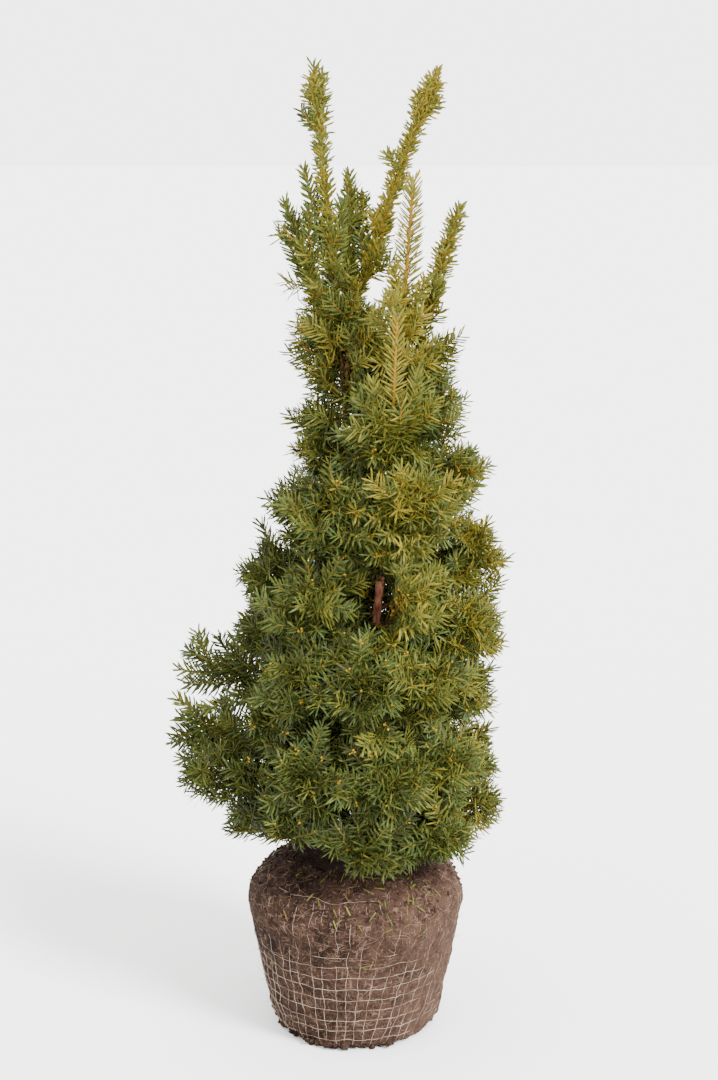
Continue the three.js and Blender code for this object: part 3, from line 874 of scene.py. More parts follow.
# Masses of foliage by level. Columns: name, the limb that carries it, height on it (None at its
# tip), azimuth, rise, reach, girth and lift.
MASSES = {
    Zone.SKIRT: (
        ("skirt_right", "skirt_right_bough", None, 5, 10, 116, 50, 0.05),
        ("skirt_front_right", "trunk", 242, 322, 9, 150, 56, -0.02),
        ("skirt_front", "trunk", 236, 272, 8, 140, 54, -0.02),
        ("skirt_front_left", "trunk", 243, 228, 11, 146, 56, -0.02),
        ("skirt_left", "trunk", 238, 190, 4, 152, 50, -0.02),
        ("skirt_back_left", "trunk", 230, 127, 8, 148, 66, 0),
        ("skirt_back_right", "trunk", 232, 62, 8, 148, 66, 0),
    ),
    Zone.LOW: (
        ("left_low", "trunk", 272, 192, 16, 214, 52, 0),
        ("far_left", "far_left_bough", None, 181, 18, 150, 50, 0.04),
        ("front_left_low", "trunk", 300, 240, 15, 150, 60, 0.06),
        ("front_low", "trunk", 298, 284, 14, 148, 58, 0.06),
        ("front_right_low", "trunk", 304, 328, 15, 150, 60, 0.06),
        ("right_low", "trunk", 298, 2, 14, 151, 56, 0.05),
        ("back_right_low", "trunk", 292, 62, 15, 145, 60, 0.06),
        ("back_left_low", "trunk", 296, 112, 15, 145, 60, 0.06),
    ),
    Zone.MIDDLE: (
        ("left_front", "trunk", 346, 206, 20, 148, 58, 0.05),
        ("far_left_upper", "far_left_upper_bough", None, 177, 20, 146, 50, 0.06),
        ("front_left_middle", "trunk", 392, 228, 27, 150, 60, 0.06),
        ("front_middle", "trunk", 388, 266, 27, 148, 60, 0.06),
        ("front_right_middle", "trunk", 392, 308, 26, 150, 60, 0.06),
        ("right_middle", "trunk", 376, 356, 18, 144, 58, 0.04),
        ("back_right_middle", "trunk", 386, 42, 26, 148, 58, 0.06),
        ("back_left_middle", "left_leader", 400, 104, 28, 140, 62, 0.06),
    ),
    Zone.UPPER: (
        ("left_middle", "left_leader", 418, 182, 30, 146, 54, 0.05),
        ("left_upper", "left_leader", 480, 186, 35, 140, 56, 0.06),
        ("front_left_upper", "left_leader", 470, 240, 35, 136, 62, 0.07),
        ("front_upper", "trunk", 474, 290, 35, 140, 62, 0.07),
        ("right_shoulder", "trunk", 446, 346, 24, 152, 58, 0.04),
        ("right_upper", "trunk", 512, 2, 31, 150, 58, 0.05),
        ("back_right_upper", "trunk", 478, 52, 32, 136, 60, 0.06),
        ("back_left_upper", "left_leader", 492, 108, 34, 130, 62, 0.06),
    ),
    Zone.HIGH: (
        ("left_high", "left_leader", 574, 188, 46, 110, 54, 0.06),
        ("front_left_high", "left_leader", 564, 252, 50, 124, 60, 0.07),
        ("front_right_high", "trunk", 572, 300, 48, 132, 62, 0.07),
        ("right_high", "trunk", 604, 352, 43, 132, 58, 0.06),
        ("back_high", "left_leader", 590, 92, 44, 118, 60, 0.06),
    ),
    Zone.TOP: (
        ("left_crown", "left_leader", 664, 190, 60, 92, 46, 0.06),
        ("front_crown", "trunk", 668, 262, 60, 120, 56, 0.06),
        ("right_crown", "trunk", 684, 346, 56, 108, 50, 0.06),
        ("back_crown", "trunk", 676, 72, 56, 116, 54, 0.06),
        ("left_shoulder", "left_leader", 748, 188, 68, 108, 40, 0.04),
        ("front_shoulder", "left_leader", 726, 292, 66, 122, 42, 0.05),
        ("right_shoot", "trunk", 728, 356, 65, 92, 38, 0.04),
        ("back_shoulder", "left_leader", 738, 78, 66, 122, 44, 0.05),
    ),
    Zone.PLUMES: (
        ("centre_front", "trunk", 758, 262, 68, 126, 42, 0.05),
        ("upper_left", "left_leader", 812, 192, 70, 156, 38, 0.04),
        ("inner_spray", "left_leader", 822, 60, 78, 168, 28, 0.02),
        ("left_plume", "left_leader", None, 184, 85, 283, 30, 0),
        ("second_plume", "second_leader", None, 356, 73, 320, 30, -0.12),
        ("centre_plume", "trunk", None, 0, 86, 198, 32, 0),
        ("right_plume", "right_leader", None, 4, 74, 172, 30, 0),
    ),
}


@dataclass(frozen=True)
class ShootRule:
    """How the first twigs of a mass leave its stem."""

    golden_angle: float = 137.5
    bare_inside: float = 0.3
    bare_on_tip: float = 0.08
    shortest: float = 20.0
    twig_area: float = 2300.0
    last_twig: float = 0.92
    turn_jitter: float = 50.0
    spread: tuple[float, float] = (60.0, 35.0)
    length: tuple[float, float] = (1.3, 0.8)
    length_jitter: tuple[float, float] = (0.85, 1.15)
    lift: float = 0.1
    margin: float = 3.4
    bluntness: float = 44.0
    clear: float = 0.3
    probe: float = 5.0


@dataclass(frozen=True)
class Habit:
    """How a shoot bears its needles.

    The angles are in degrees from the shoot: on a level shoot, on a steep one, and at the tip of
    either. The needles are gathered into two ranks by the gather, and the light is added to the
    lightness of their tone. They are longer and shorter by turns by the swell. The upper side of
    the ranks is turned to the facing, or up, outward and to the front if there is none.
    """

    pitch: float = 1.4
    length: float = 21.5
    width: float = 2.05
    angle: float = 58.0
    erect_angle: float = 48.0
    gather: float = 1.0
    light: float = 0.0
    swell: float = 0.0
    facing: tuple[float, float, float] | None = None
    tip_angle: float = 28.0


COMMON = Habit()
BOLD = Habit(pitch=1.1, length=22.5, width=2.4, light=0.04)
APART_SHOOT = Habit(
    pitch=1.0, length=22.0, width=2.45, angle=60, gather=0.5, light=0.2, facing=(-0.25, -0.8, 0.6),
    tip_angle=36,
)
PLUME = Habit(
    pitch=0.98, length=15.8, width=2.4, angle=56, erect_angle=50, gather=0.2, light=0.12, swell=0.3,
    facing=(0.1, -1.0, 0.3), tip_angle=40,
)
TUFT = Habit(
    pitch=0.9, length=15.5, width=2.3, angle=54, erect_angle=50, gather=0.3, light=0.12,
    facing=(0.0, -1.0, 0.4), tip_angle=36,
)
SMALL_TIP = Habit(
    pitch=1.0, length=19.0, width=2.4, angle=53, erect_angle=48, gather=0.5, light=0.1,
    facing=(-0.1, -0.8, 0.6), tip_angle=34,
)
ROSETTE = Habit(
    pitch=0.95, length=21.0, width=2.3, angle=62, erect_angle=60, gather=0.1, light=0.08, tip_angle=44
)
COMB = Habit(
    pitch=0.86, length=24.5, width=1.95, angle=60, erect_angle=58, gather=0.9, light=-0.06,
    facing=(0.1, -1.0, 0.25),
)
FRONT_COMB = Habit(
    pitch=0.85, length=23.0, width=1.95, angle=60, erect_angle=57, gather=0.82, light=-0.3,
    facing=(0.1, -1.0, 0.25),
)
# Golden shoots with two flat ranks of needles and no twiglets.
COMBS = (COMB, FRONT_COMB)
# Habit of the stems that aren't common.
STEM_HABITS = {
    "left_plume": PLUME, "second_plume": PLUME, "right_plume": PLUME,
    "centre_plume": COMB, "centre_front": FRONT_COMB, "front_crown": FRONT_COMB,
    "far_left": APART_SHOOT, "far_left_upper": APART_SHOOT, "left_low": BOLD, "left_middle": BOLD,
    "right_middle": BOLD, "right_shoulder": BOLD, "right_upper": BOLD, "right_high": BOLD,
}
# Masses with fewer twigs than the rule gives: share of them that grows.
SPARSE = {
    "upper_left": 0.4, "centre_front": 0.35, "front_crown": 0.7, "right_shoot": 0.8,
    "far_left": 0.2, "far_left_upper": 0.2, "left_low": 0.8, "left_shoulder": 0.8,
}
# Masses of a few long shoots that stand apart.
APART = ("far_left", "far_left_upper")
# Masses whose twigs stay nearer to their own space: slack of them.
TIGHT = {"left_shoulder": 10.0}
# Share of the stem at which each plume is widest, and how far that reaches. The centre plume has
# none, because it is a single golden shoot with no tufts.
BULGES = {
    "left_plume": (0.88, 0.12), "second_plume": (0.84, 0.10), "right_plume": (0.62, 0.16),
    "inner_spray": (0.8, 0.2),
}


@dataclass(frozen=True)
class Spray:
    """A side shoot that ends at a known place.

    It leaves a mass's stem at the root's share, and may bend round a control point on its way.
    """

    root: float
    tip: tuple[float, float, float]
    habit: Habit = BOLD
    bend: tuple[float, float, float] | None = None
    lift: float = 0.1

    def curve(self, stem: Bezier) -> Bezier:
        """Its line from the stem to the tip."""
        start = stem.at(self.root)
        if self.bend is not None:
            return Bezier((tuple(start), self.bend, self.tip))
        return Bezier.reaching(start, np.array(self.tip), self.lift)


@dataclass
class Shoot:
    """One stem or twig: its line, size and habit.

    It bears no needles over its bare length. The order is 0 for a mass's stem, 1 for a twig, 2 for
    a twiglet and 3 for a tuft.
    """

    curve: Bezier
    length: float
    root_radius: float
    bare: float
    order: int
    habit: Habit = COMMON


RULE = ShootRule()


@dataclass
class Mass:
    """One mass of foliage: its stem and the space that it keeps to."""

    name: str
    zone: Zone
    stem: Bezier
    bare: float
    reach: float
    girth: float
    seed: int
    planes: tuple[Array, Array] = field(default=(np.zeros((0, 3)), np.zeros(0)))

    @property
    def leafy(self) -> Array:
        """Where the leafy part of the stem starts."""
        return self.stem.at(self.bare)

    @property
    def tip(self) -> Array:
        """The stem's tip."""
        return self.stem.at(1.0)

    def against(self, others: Sequence["Mass"]) -> None:
        """Sets the planes that part this mass's space from the others.

        Each stands across the shortest way between the two leafy lines, at the share of the two
        girths that is this mass's own, less the clearance.
        """
        normals, offsets = [], []
        for other in others:
            s, t = closest_shares(self, other)
            near = blend(self.leafy, self.tip, s)
            way = blend(other.leafy, other.tip, t) - near
            share = self.girth / (self.girth + other.girth)
            normal = unit(way)
            normals.append(normal)
            offsets.append(normal @ near + np.linalg.norm(way) * share - RULE.clear)
        self.planes = (np.array(normals), np.array(offsets))

    @property
    def across_view(self) -> float:
        """How far the stem points to the front or the back, from 0 to 1."""
        return abs(float(unit(self.tip - self.leafy)[1]))

    def holds(
        self, points: Array, margin: float, slack: float = 0.0, spare: float = 0.0
    ) -> Array:
        """Whether points, with a margin round them, lie in the space.

        The ellipsoid's centre is the middle of the leafy line, its long half axis reaches past
        the tip by its bluntness, and its girth is the same all round. Shoots stop level with the
        tip, so that their needles reach the end of the space.

        Args:
            points: Places along the last axis.
            margin: Kept from the ellipsoid and from the planes between the masses.
            slack: How far those planes are moved out.
            spare: Added to the girth.

        Returns:
            One truth value for each point.
        """
        axis = unit(self.tip - self.leafy)
        half = np.linalg.norm(self.tip - self.leafy) / 2 + RULE.bluntness
        offset = points - (self.leafy + self.tip) / 2
        along = offset @ axis
        across = np.sqrt(np.maximum(0, (offset**2).sum(-1) - along**2))
        girth = self.girth + spare - margin
        inside = (along / (half - margin)) ** 2 + (across / girth) ** 2 <= 1
        inside &= along < np.linalg.norm(self.tip - self.leafy) / 2
        normals, offsets = self.planes
        return inside & np.all(points @ normals.T < offsets - margin + slack, axis=-1)


def closest_shares(a: Mass, b: Mass) -> tuple[float, float]:
    """Closest points of the leafy lines of two masses, as shares along each."""
    da, db, gap = a.tip - a.leafy, b.tip - b.leafy, a.leafy - b.leafy
    aa, bb, ab = da @ da, db @ db, da @ db
    cross = aa * bb - ab * ab
    s = np.clip((ab * (db @ gap) - bb * (da @ gap)) / cross, 0, 1) if cross > 1e-9 else 0.0
    t = np.clip((ab * s + db @ gap) / bb, 0, 1)
    s = np.clip((ab * t - da @ gap) / aa, 0, 1)
    return float(s), float(t)


def place_masses(limbs: dict[str, Limb]) -> dict[str, Mass]:
    """Places every mass on its limb and parts their spaces from one another.

    Args:
        limbs: The limbs by name.

    Returns:
        The masses by name.
    """
    masses = {}
    rows = [(zone, *row) for zone, table in MASSES.items() for row in table]
    for seed, (zone, name, carrier, height, azimuth, rise, reach, girth, lift) in enumerate(rows):
        curve = limbs[carrier].curve
        on_tip = height is None
        root = curve.at(1.0 if on_tip else curve.share_at_height(height))
        if on_tip:
            root = root - curve.tangent(1.0) * BOUGH_TIP
        stem = Bezier.rising(root, heading(azimuth, rise), reach, lift)
        bare = RULE.bare_on_tip if on_tip else RULE.bare_inside
        masses[name] = Mass(name, zone, stem, bare, reach, girth, seed)
    for mass in masses.values():
        mass.against([other for other in masses.values() if other is not mass])
    return masses


@dataclass(frozen=True)
class View:
    """A way through the foliage that stays open, so that a stretch of the trunk shows."""

    left: float = 20.5
    right: float = 32.0
    low: float = 497.0
    high: float = 556.0
    front: float = -12.0
    slope: float = 0.264
    splay: float = 0.16

    def blocks(self, points: Array) -> Array:
        """Whether points stand in the way, which rises and widens to the right towards the front."""
        height = points[..., 2] + self.slope * (points[..., 1] - self.front)
        right = self.right + self.splay * (self.front - points[..., 1])
        wide = (points[..., 0] > self.left) & (points[..., 0] < right)
        tall = (height > self.low) & (height < self.high)
        return wide & tall & (points[..., 1] < self.front)


# The ways to the trunk, to the golden shoot in front of it higher up, and to the left leader.
VIEWS = (
    View(),
    View(20.0, 66.0, 715.0, 862.0, -94.0, 0.0, 0.0),
    View(-21.0, -7.0, 770.0, 815.0, -6.0, 0.138, 0.0),
)


def in_view(points: Array) -> Array:
    """Whether points stand in one of the ways that stay open."""
    return np.any([view.blocks(points) for view in VIEWS], axis=0)


@dataclass(frozen=True)
class BareSoil:
    """The stretch at the front left where the foliage starts higher and the soil shows."""

    rise: float = 38.0
    right: float = -6.0
    back: float = -12.0
    fade: float = 32.0

    def lift(self, points: Array) -> Array:
        """How much higher the foliage starts over each point."""
        left = np.clip((self.right - points[..., 0]) / self.fade, 0, 1)
        front = np.clip((self.back - points[..., 1]) / self.fade, 0, 1)
        return self.rise * left * front


BARE_SOIL = BareSoil()


@dataclass(frozen=True)
class Front:
    """The face of the crown that is turned to the viewer, on which rosettes end.

    A level cut through it is half an ellipse: y = d sqrt(1 - ((x - m) / w)^2), with the middle m,
    the half width w and the depth d given by rows of heights. The tips stand on a grid, every
    second row half a pitch across, each moved by up to the stray times the pitch. A rosette grows
    from the nearest stem that stands at least the fore behind its tip, and at most the drop over
    it.
    """

    heights: tuple[float, ...] = (240.0, 300.0, 400.0, 470.0, 550.0, 620.0, 700.0)
    middles: tuple[float, ...] = (0.0, -6.0, 0.0, 12.0, 22.0, 28.0, 32.0)
    widths: tuple[float, ...] = (136.0, 142.0, 146.0, 142.0, 122.0, 104.0, 84.0)
    depths: tuple[float, ...] = (-130.0, -142.0, -143.0, -134.0, -118.0, -104.0, -92.0)
    left: float = -150.0
    right: float = 180.0
    pitch: float = 27.0
    stray: float = 0.34
    edge: float = 0.9
    proud: float = 4.0
    sunk: float = 16.0
    stem_from: float = 0.35
    stem_to: float = 0.92
    fore: float = 18.0
    drop: float = 12.0
    lift: float = 0.12
    longest: float = 78.0
    lowest: float = 242.0

    def tips(self, rng: Random) -> Array:
        """Places of the rosettes' tips, strewn evenly."""
        rows = np.arange(self.heights[0], self.heights[-1] + 20, self.pitch)
        x, z = np.meshgrid(np.arange(self.left, self.right, self.pitch), rows)
        x = x + np.where(np.arange(len(rows)) % 2, self.pitch / 2, 0)[:, None]
        x = x + rng.uniform(-self.stray, self.stray, x.shape) * self.pitch
        z = z + rng.uniform(-self.stray, self.stray, z.shape) * self.pitch
        share = (x - np.interp(z, self.heights, self.middles)) / np.interp(z, self.heights, self.widths)
        kept = np.abs(share) < self.edge
        x, z, share = x[kept], z[kept], share[kept]
        y = np.interp(z, self.heights, self.depths) * np.sqrt(1 - share**2)
        return np.stack([x, y + rng.uniform(-self.proud, self.sunk, len(x)), z], axis=-1)

    def rosettes(self, masses: Sequence[Mass], rng: Random) -> dict[str, list[Shoot]]:
        """Shoots whose tips point out of the crown's front.

        Args:
            masses: The masses that may bear them.
            rng: Random numbers.

        Returns:
            The shoots by the name of the mass that bears them.
        """
        made = {mass.name: [] for mass in masses}
        shares = np.linspace(self.stem_from, self.stem_to, 12)
        lines = np.stack([mass.stem.at(shares) for mass in masses])
        for tip in self.tips(rng):
            way = tip - lines
            far = np.linalg.norm(way, axis=-1)
            far = np.where((way[..., 1] < -self.fore) & (way[..., 2] > -self.drop), far, np.inf)
            mass, place = np.unravel_index(int(np.argmin(far)), far.shape)
            length = float(far[mass, place])
            if length >= self.longest or tip[2] < self.lowest + BARE_SOIL.lift(tip):
                continue
            line = Bezier.reaching(lines[mass, place], tip, self.lift)
            if not in_view(line.at(np.linspace(0, 1, 16))).any():
                made[masses[mass].name].append(Shoot(line, length, 1.4, 5, 1, ROSETTE))
        return made


FRONT = Front()


@dataclass(frozen=True)
class TwigRule:
    """Twigs between the frame's own: closer together, reaching further in and past the space.

    The lift is full from the full height up and fades to nothing over the fade below it. The
    recovery bends twigs that set out downward up again. A share of the twigs has the wide slack.
    """

    area: float = 192.0
    inside: float = 0.55
    last: float = 0.98
    first_turn: float = 60.0
    spread: tuple[float, float] = (62.0, 42.0)
    spread_jitter: float = 7.0
    length: tuple[float, float] = (1.3, 0.95)
    length_jitter: tuple[float, float] = (0.6, 1.2)
    slack: float = 36.0
    wide_slack: float = 64.0
    wide_share: float = 0.3
    lift: float = 0.16
    full_height: float = 480.0
    fade: float = 400.0
    recovery: float = 0.45


@dataclass(frozen=True)
class TwigletRule:
    """Short side shoots that leave a twig left and right by turns."""

    pitch: float = 15.0
    first: float = 0.22
    last: float = 0.9
    angle: float = 46.0
    angle_jitter: float = 7.0
    side_jitter: float = 0.35
    share: float = 0.66
    taper: float = 0.5
    longest: float = 46.0
    length_jitter: tuple[float, float] = (0.75, 1.15)
    least_twig: float = 20.0
    lift: float = 0.14


@dataclass(frozen=True)
class TuftRule:
    """Side growth of a plume: leafy sprays round its foot, and short tufts further up.

    The crowding is the power of the tuft's number that its place on the stem goes with, so that
    tufts stand closer together towards the tip.
    """

    pitch: float = 4.2
    first: float = 0.02
    span: float = 0.95
    crowding: float = 0.8
    angle: float = 44.0
    angle_jitter: float = 6.0
    turn_jitter: float = 25.0
    length: tuple[float, float] = (4.0, 16.0)
    length_jitter: tuple[float, float] = (0.7, 1.2)
    basal_to: float = 0.36
    basal_length: tuple[float, float] = (56.0, 20.0)
    basal_jitter: tuple[float, float] = (0.65, 1.1)
    lift: float = 0.22


@dataclass(frozen=True)
class LimbSprayRule:
    """Leafy sprays straight off a limb. Those that point to the front grow longer."""

    pitch: float = 3.8
    lowest: float = 238.0
    lean: tuple[float, float] = (46.0, 74.0)
    turn_jitter: float = 20.0
    length: tuple[float, float] = (30.0, 54.0)
    front_growth: float = 0.4
    lift: float = 0.16


@dataclass
class Growth:
    """Grows the shoots of the limbs and of the masses.

    A mass has its stem, the frame's own twigs, more twigs between them, side shoots that end at a
    known place, and twiglets. A slim mass is a plume: it reaches a little past the frame's tip and
    has tufts in place of more twigs.
    """

    limbs: dict[str, Limb]
    more: TwigRule = TwigRule()
    twiglet: TwigletRule = TwigletRule()
    tuft: TuftRule = TuftRule()
    limb_spray: LimbSprayRule = LimbSprayRule()
    margin: float = 5.0
    spare: float = 16.0
    shortest: float = 12.0
    lowest: float = 238.0
    first_lowest: float = 218.0
    soil_lift: float = 0.6
    slim_girth: float = 33.0
    past_tip: float = 9.0
    stem_root: float = 2.1
    comb_root: float = 2.5
    spray_root: float = 1.9

    def room(self, curve: Bezier, mass: Mass, margin: float, slack: float) -> float:
        """How far a line stays in a mass's space, out of the open ways and clear of the limbs.

        Args:
            curve: The line.
            mass: The mass that it belongs to.
            margin: Kept from the edge of the space.
            slack: How far the line may pass the planes between the masses. A line with slack
                belongs to a finer twig, which stays higher over the soil.

        Returns:
            The share of the line that stays.
        """
        count = math.ceil(curve.length() / RULE.probe)
        shares = np.arange(1, count + 1) / count
        points = curve.at(shares)
        spare = self.spare * mass.across_view if slack else 0.0
        free = mass.holds(points, margin, slack, spare) & ~in_view(points)
        lift = BARE_SOIL.lift(points)
        free &= (points[:, 2] > self.first_lowest + lift) | (lift == 0)
        if slack:
            free &= points[:, 2] > self.lowest + self.soil_lift * lift
        for limb in self.limbs.values():
            free &= limb.distance(points) > RULE.margin
        stopped = np.flatnonzero(~free)
        return 1.0 if len(stopped) == 0 else float(shares[stopped[0]] - 1 / count)

    def first_twigs(self, mass: Mass) -> list[Shoot]:
        """The frame's own twigs, by the same draws.

        Args:
            mass: The mass that they belong to.

        Returns:
            The twigs.
        """
        draw = Draws(mass.seed)
        span = RULE.last_twig - mass.bare
        count = math.floor(span * mass.reach * mass.girth / RULE.twig_area + 0.5)
        made = []
        for k in range(count):
            share = mass.bare + ((k + draw()) / count) * span
            turn = k * RULE.golden_angle + RULE.turn_jitter * draw()
            spread = blend(*RULE.spread, share)
            wanted = blend(*RULE.length, share) * blend(*RULE.length_jitter, draw()) * mass.girth
            start, direction = mass.stem.at(share), mass.stem.leaning(share, spread, turn)
            line = Bezier.rising(start, direction, wanted, RULE.lift)
            length = self.room(line, mass, RULE.margin, 0.0) * wanted
            if length >= RULE.shortest:
                line = Bezier.rising(start, direction, length, RULE.lift)
                made.append(Shoot(line, length, 1.5, 5, 1))
        return made

    def more_twigs(self, mass: Mass, rng: Random) -> list[Shoot]:
        """Twigs between the frame's own.

        Args:
            mass: The mass that they belong to.
            rng: Random numbers.

        Returns:
            The twigs.
        """
        rule = self.more
        first = mass.bare * rule.inside
        span = rule.last - first
        count = round(span * mass.reach * mass.girth / rule.area * SPARSE.get(mass.name, 1))
        made = []
        for k in range(count):
            share = first + ((k + rng.random()) / count) * span
            turn = rule.first_turn + k * RULE.golden_angle + RULE.turn_jitter * rng.random()
            spread = blend(*rule.spread, share) + rng.normal(0, rule.spread_jitter)
            wanted = mass.girth * blend(*rule.length, share) * rng.uniform(*rule.length_jitter)
            start, direction = mass.stem.at(share), mass.stem.leaning(share, spread, turn)
            lift = rule.lift * np.clip(1 - (rule.full_height - start[2]) / rule.fade, 0, 1)
            lift -= rule.recovery * min(direction[2], 0)
            slack = rule.wide_slack if rng.random() < rule.wide_share else rule.slack
            slack = TIGHT.get(mass.name, slack)
            line = Bezier.rising(start, direction, wanted, lift)
            length = self.room(line, mass, self.margin, slack) * wanted
            if length >= self.shortest:
                made.append(Shoot(Bezier.rising(start, direction, length, lift), length, 1.4, 4, 1))
        return made

    def tufts(self, mass: Mass, rng: Random) -> list[Shoot]:
        """Sprays round the foot of a plume, every second one left out, and tufts further up.

        The tufts are longest where the plume is widest: by exp(-((share - middle) / width)^2).

        Args:
            mass: The plume.
            rng: Random numbers.

        Returns:
            The sprays and tufts.
        """
        rule = self.tuft
        middle, width = BULGES.get(mass.name, (1.0, 1.0))
        made = []
        count = round(mass.reach / rule.pitch)
        for k in range(count):
            share = rule.first + rule.span * ((k + rng.random()) / count) ** rule.crowding
            turn = k * RULE.golden_angle + rng.uniform(-rule.turn_jitter, rule.turn_jitter)
            lean = rng.normal(rule.angle, rule.angle_jitter)
            direction = mass.stem.leaning(share, lean, turn)
            if share < rule.basal_to:
                kept, order, habit = k % 2 == 0, 1, SMALL_TIP
                length = blend(*rule.basal_length, share / rule.basal_to)
                length *= rng.uniform(*rule.basal_jitter)
            else:
                kept, order, habit = mass.name in BULGES, 3, TUFT
                length = blend(*rule.length, math.exp(-(((share - middle) / width) ** 2)))
                length *= rng.uniform(*rule.length_jitter)
            if kept:
                line = Bezier.rising(mass.stem.at(share), direction, length, rule.lift)
                made.append(Shoot(line, length, 1.2, 2, order, habit))
        return made

    def twiglets(self, twig: Shoot, mass: Mass | None, rng: Random) -> list[Shoot]:
        """Twiglets of a twig, of its own habit. Golden shoots and small tips have none.

        Args:
            twig: The twig that bears them.
            mass: The mass whose space they keep to, if any.
            rng: Random numbers.

        Returns:
            The twiglets.
        """
        rule = self.twiglet
        if twig.length < rule.least_twig or twig.habit in (*COMBS, SMALL_TIP):
            return []
        made = []
        count = int((1 - rule.first) * twig.length / rule.pitch)
        for k in range(count):
            share = rule.first + (k + rng.uniform(0.2, 0.8)) / count * (rule.last - rule.first)
            tangent = twig.curve.tangent(share)
            side = unit(np.cross(UP, tangent) + 1e-6) * (1 if k % 2 else -1)
            side = unit(side + rng.normal(0, rule.side_jitter, 3))
            lean = math.radians(rule.angle + rng.normal(0, rule.angle_jitter))
            direction = unit(tangent * math.cos(lean) + side * math.sin(lean))
            wanted = min(rule.longest, twig.length * (1 - share * rule.taper) * rule.share)
            wanted *= rng.uniform(*rule.length_jitter)
            start = twig.curve.at(share)
            line = Bezier.rising(start, direction, wanted, rule.lift)
            free = 1.0 if mass is None else self.room(line, mass, self.margin, self.more.slack)
            length = free * wanted
            if length >= self.shortest:
                line = Bezier.rising(start, direction, length, rule.lift)
                made.append(Shoot(line, length, 0.9, 2, 2, twig.habit))
        return made

    def on_limb(self, limb: Limb, rng: Random) -> list[Shoot]:
        """Leafy sprays straight off a limb, at the golden angle all the way up.

        Args:
            limb: The limb that bears them.
            rng: Random numbers.

        Returns:
            The sprays.
        """
        rule = self.limb_spray
        made = []
        low = limb.curve.share_at_height(rule.lowest)
        count = int((1 - low) * limb.curve.length() / rule.pitch)
        for k in range(count):
            share = low + (k + rng.random()) / count * (1 - low)
            lean = rng.uniform(*rule.lean)
            turn = k * RULE.golden_angle + rng.uniform(-rule.turn_jitter, rule.turn_jitter)
            direction = limb.curve.leaning(share, lean, turn)
            length = rng.uniform(*rule.length) * (1 + rule.front_growth * max(0.0, -direction[1]))
            line = Bezier.rising(limb.curve.at(share), direction, length, rule.lift)
            points = line.at(np.linspace(0.2, 1, 6))
            lift = BARE_SOIL.lift(points)
            too_low = (lift > 0) & (points[:, 2] < self.first_lowest + lift)
            if not (in_view(points) | too_low).any():
                made.append(Shoot(line, length, 1.2, 6, 1))
        return made

    def grow(self, mass: Mass) -> list[Shoot]:
        """Grows a mass.

        Args:
            mass: The mass.

        Returns:
            All its shoots, the stem first.
        """
        rng = np.random.default_rng(1000 + mass.seed)
        habit = STEM_HABITS.get(mass.name, COMMON)
        apart, slim = mass.name in APART, mass.girth < self.slim_girth
        past = self.past_tip if slim else 0.0
        root = self.comb_root if habit in COMBS else self.stem_root
        line = mass.stem.longer(past)
        stem = Shoot(line, mass.reach + past, root, mass.bare * mass.reach, 0, habit)
        twigs = self.first_twigs(mass)
        if slim:
            twigs = [replace(twig, habit=TUFT) for twig in twigs] + self.tufts(mass, rng)
        else:
            twigs += self.more_twigs(mass, rng)
        for spray in SPRAYS.get(mass.name, ()):
            line = spray.curve(mass.stem)
            twigs.append(Shoot(line, line.length(), self.spray_root, 5, 1, spray.habit))
        if apart:
            return [stem, *(replace(twig, habit=APART_SHOOT) for twig in twigs)]
        space = None if slim else mass
        return [stem, *twigs, *(small for twig in twigs for small in self.twiglets(twig, space, rng))]


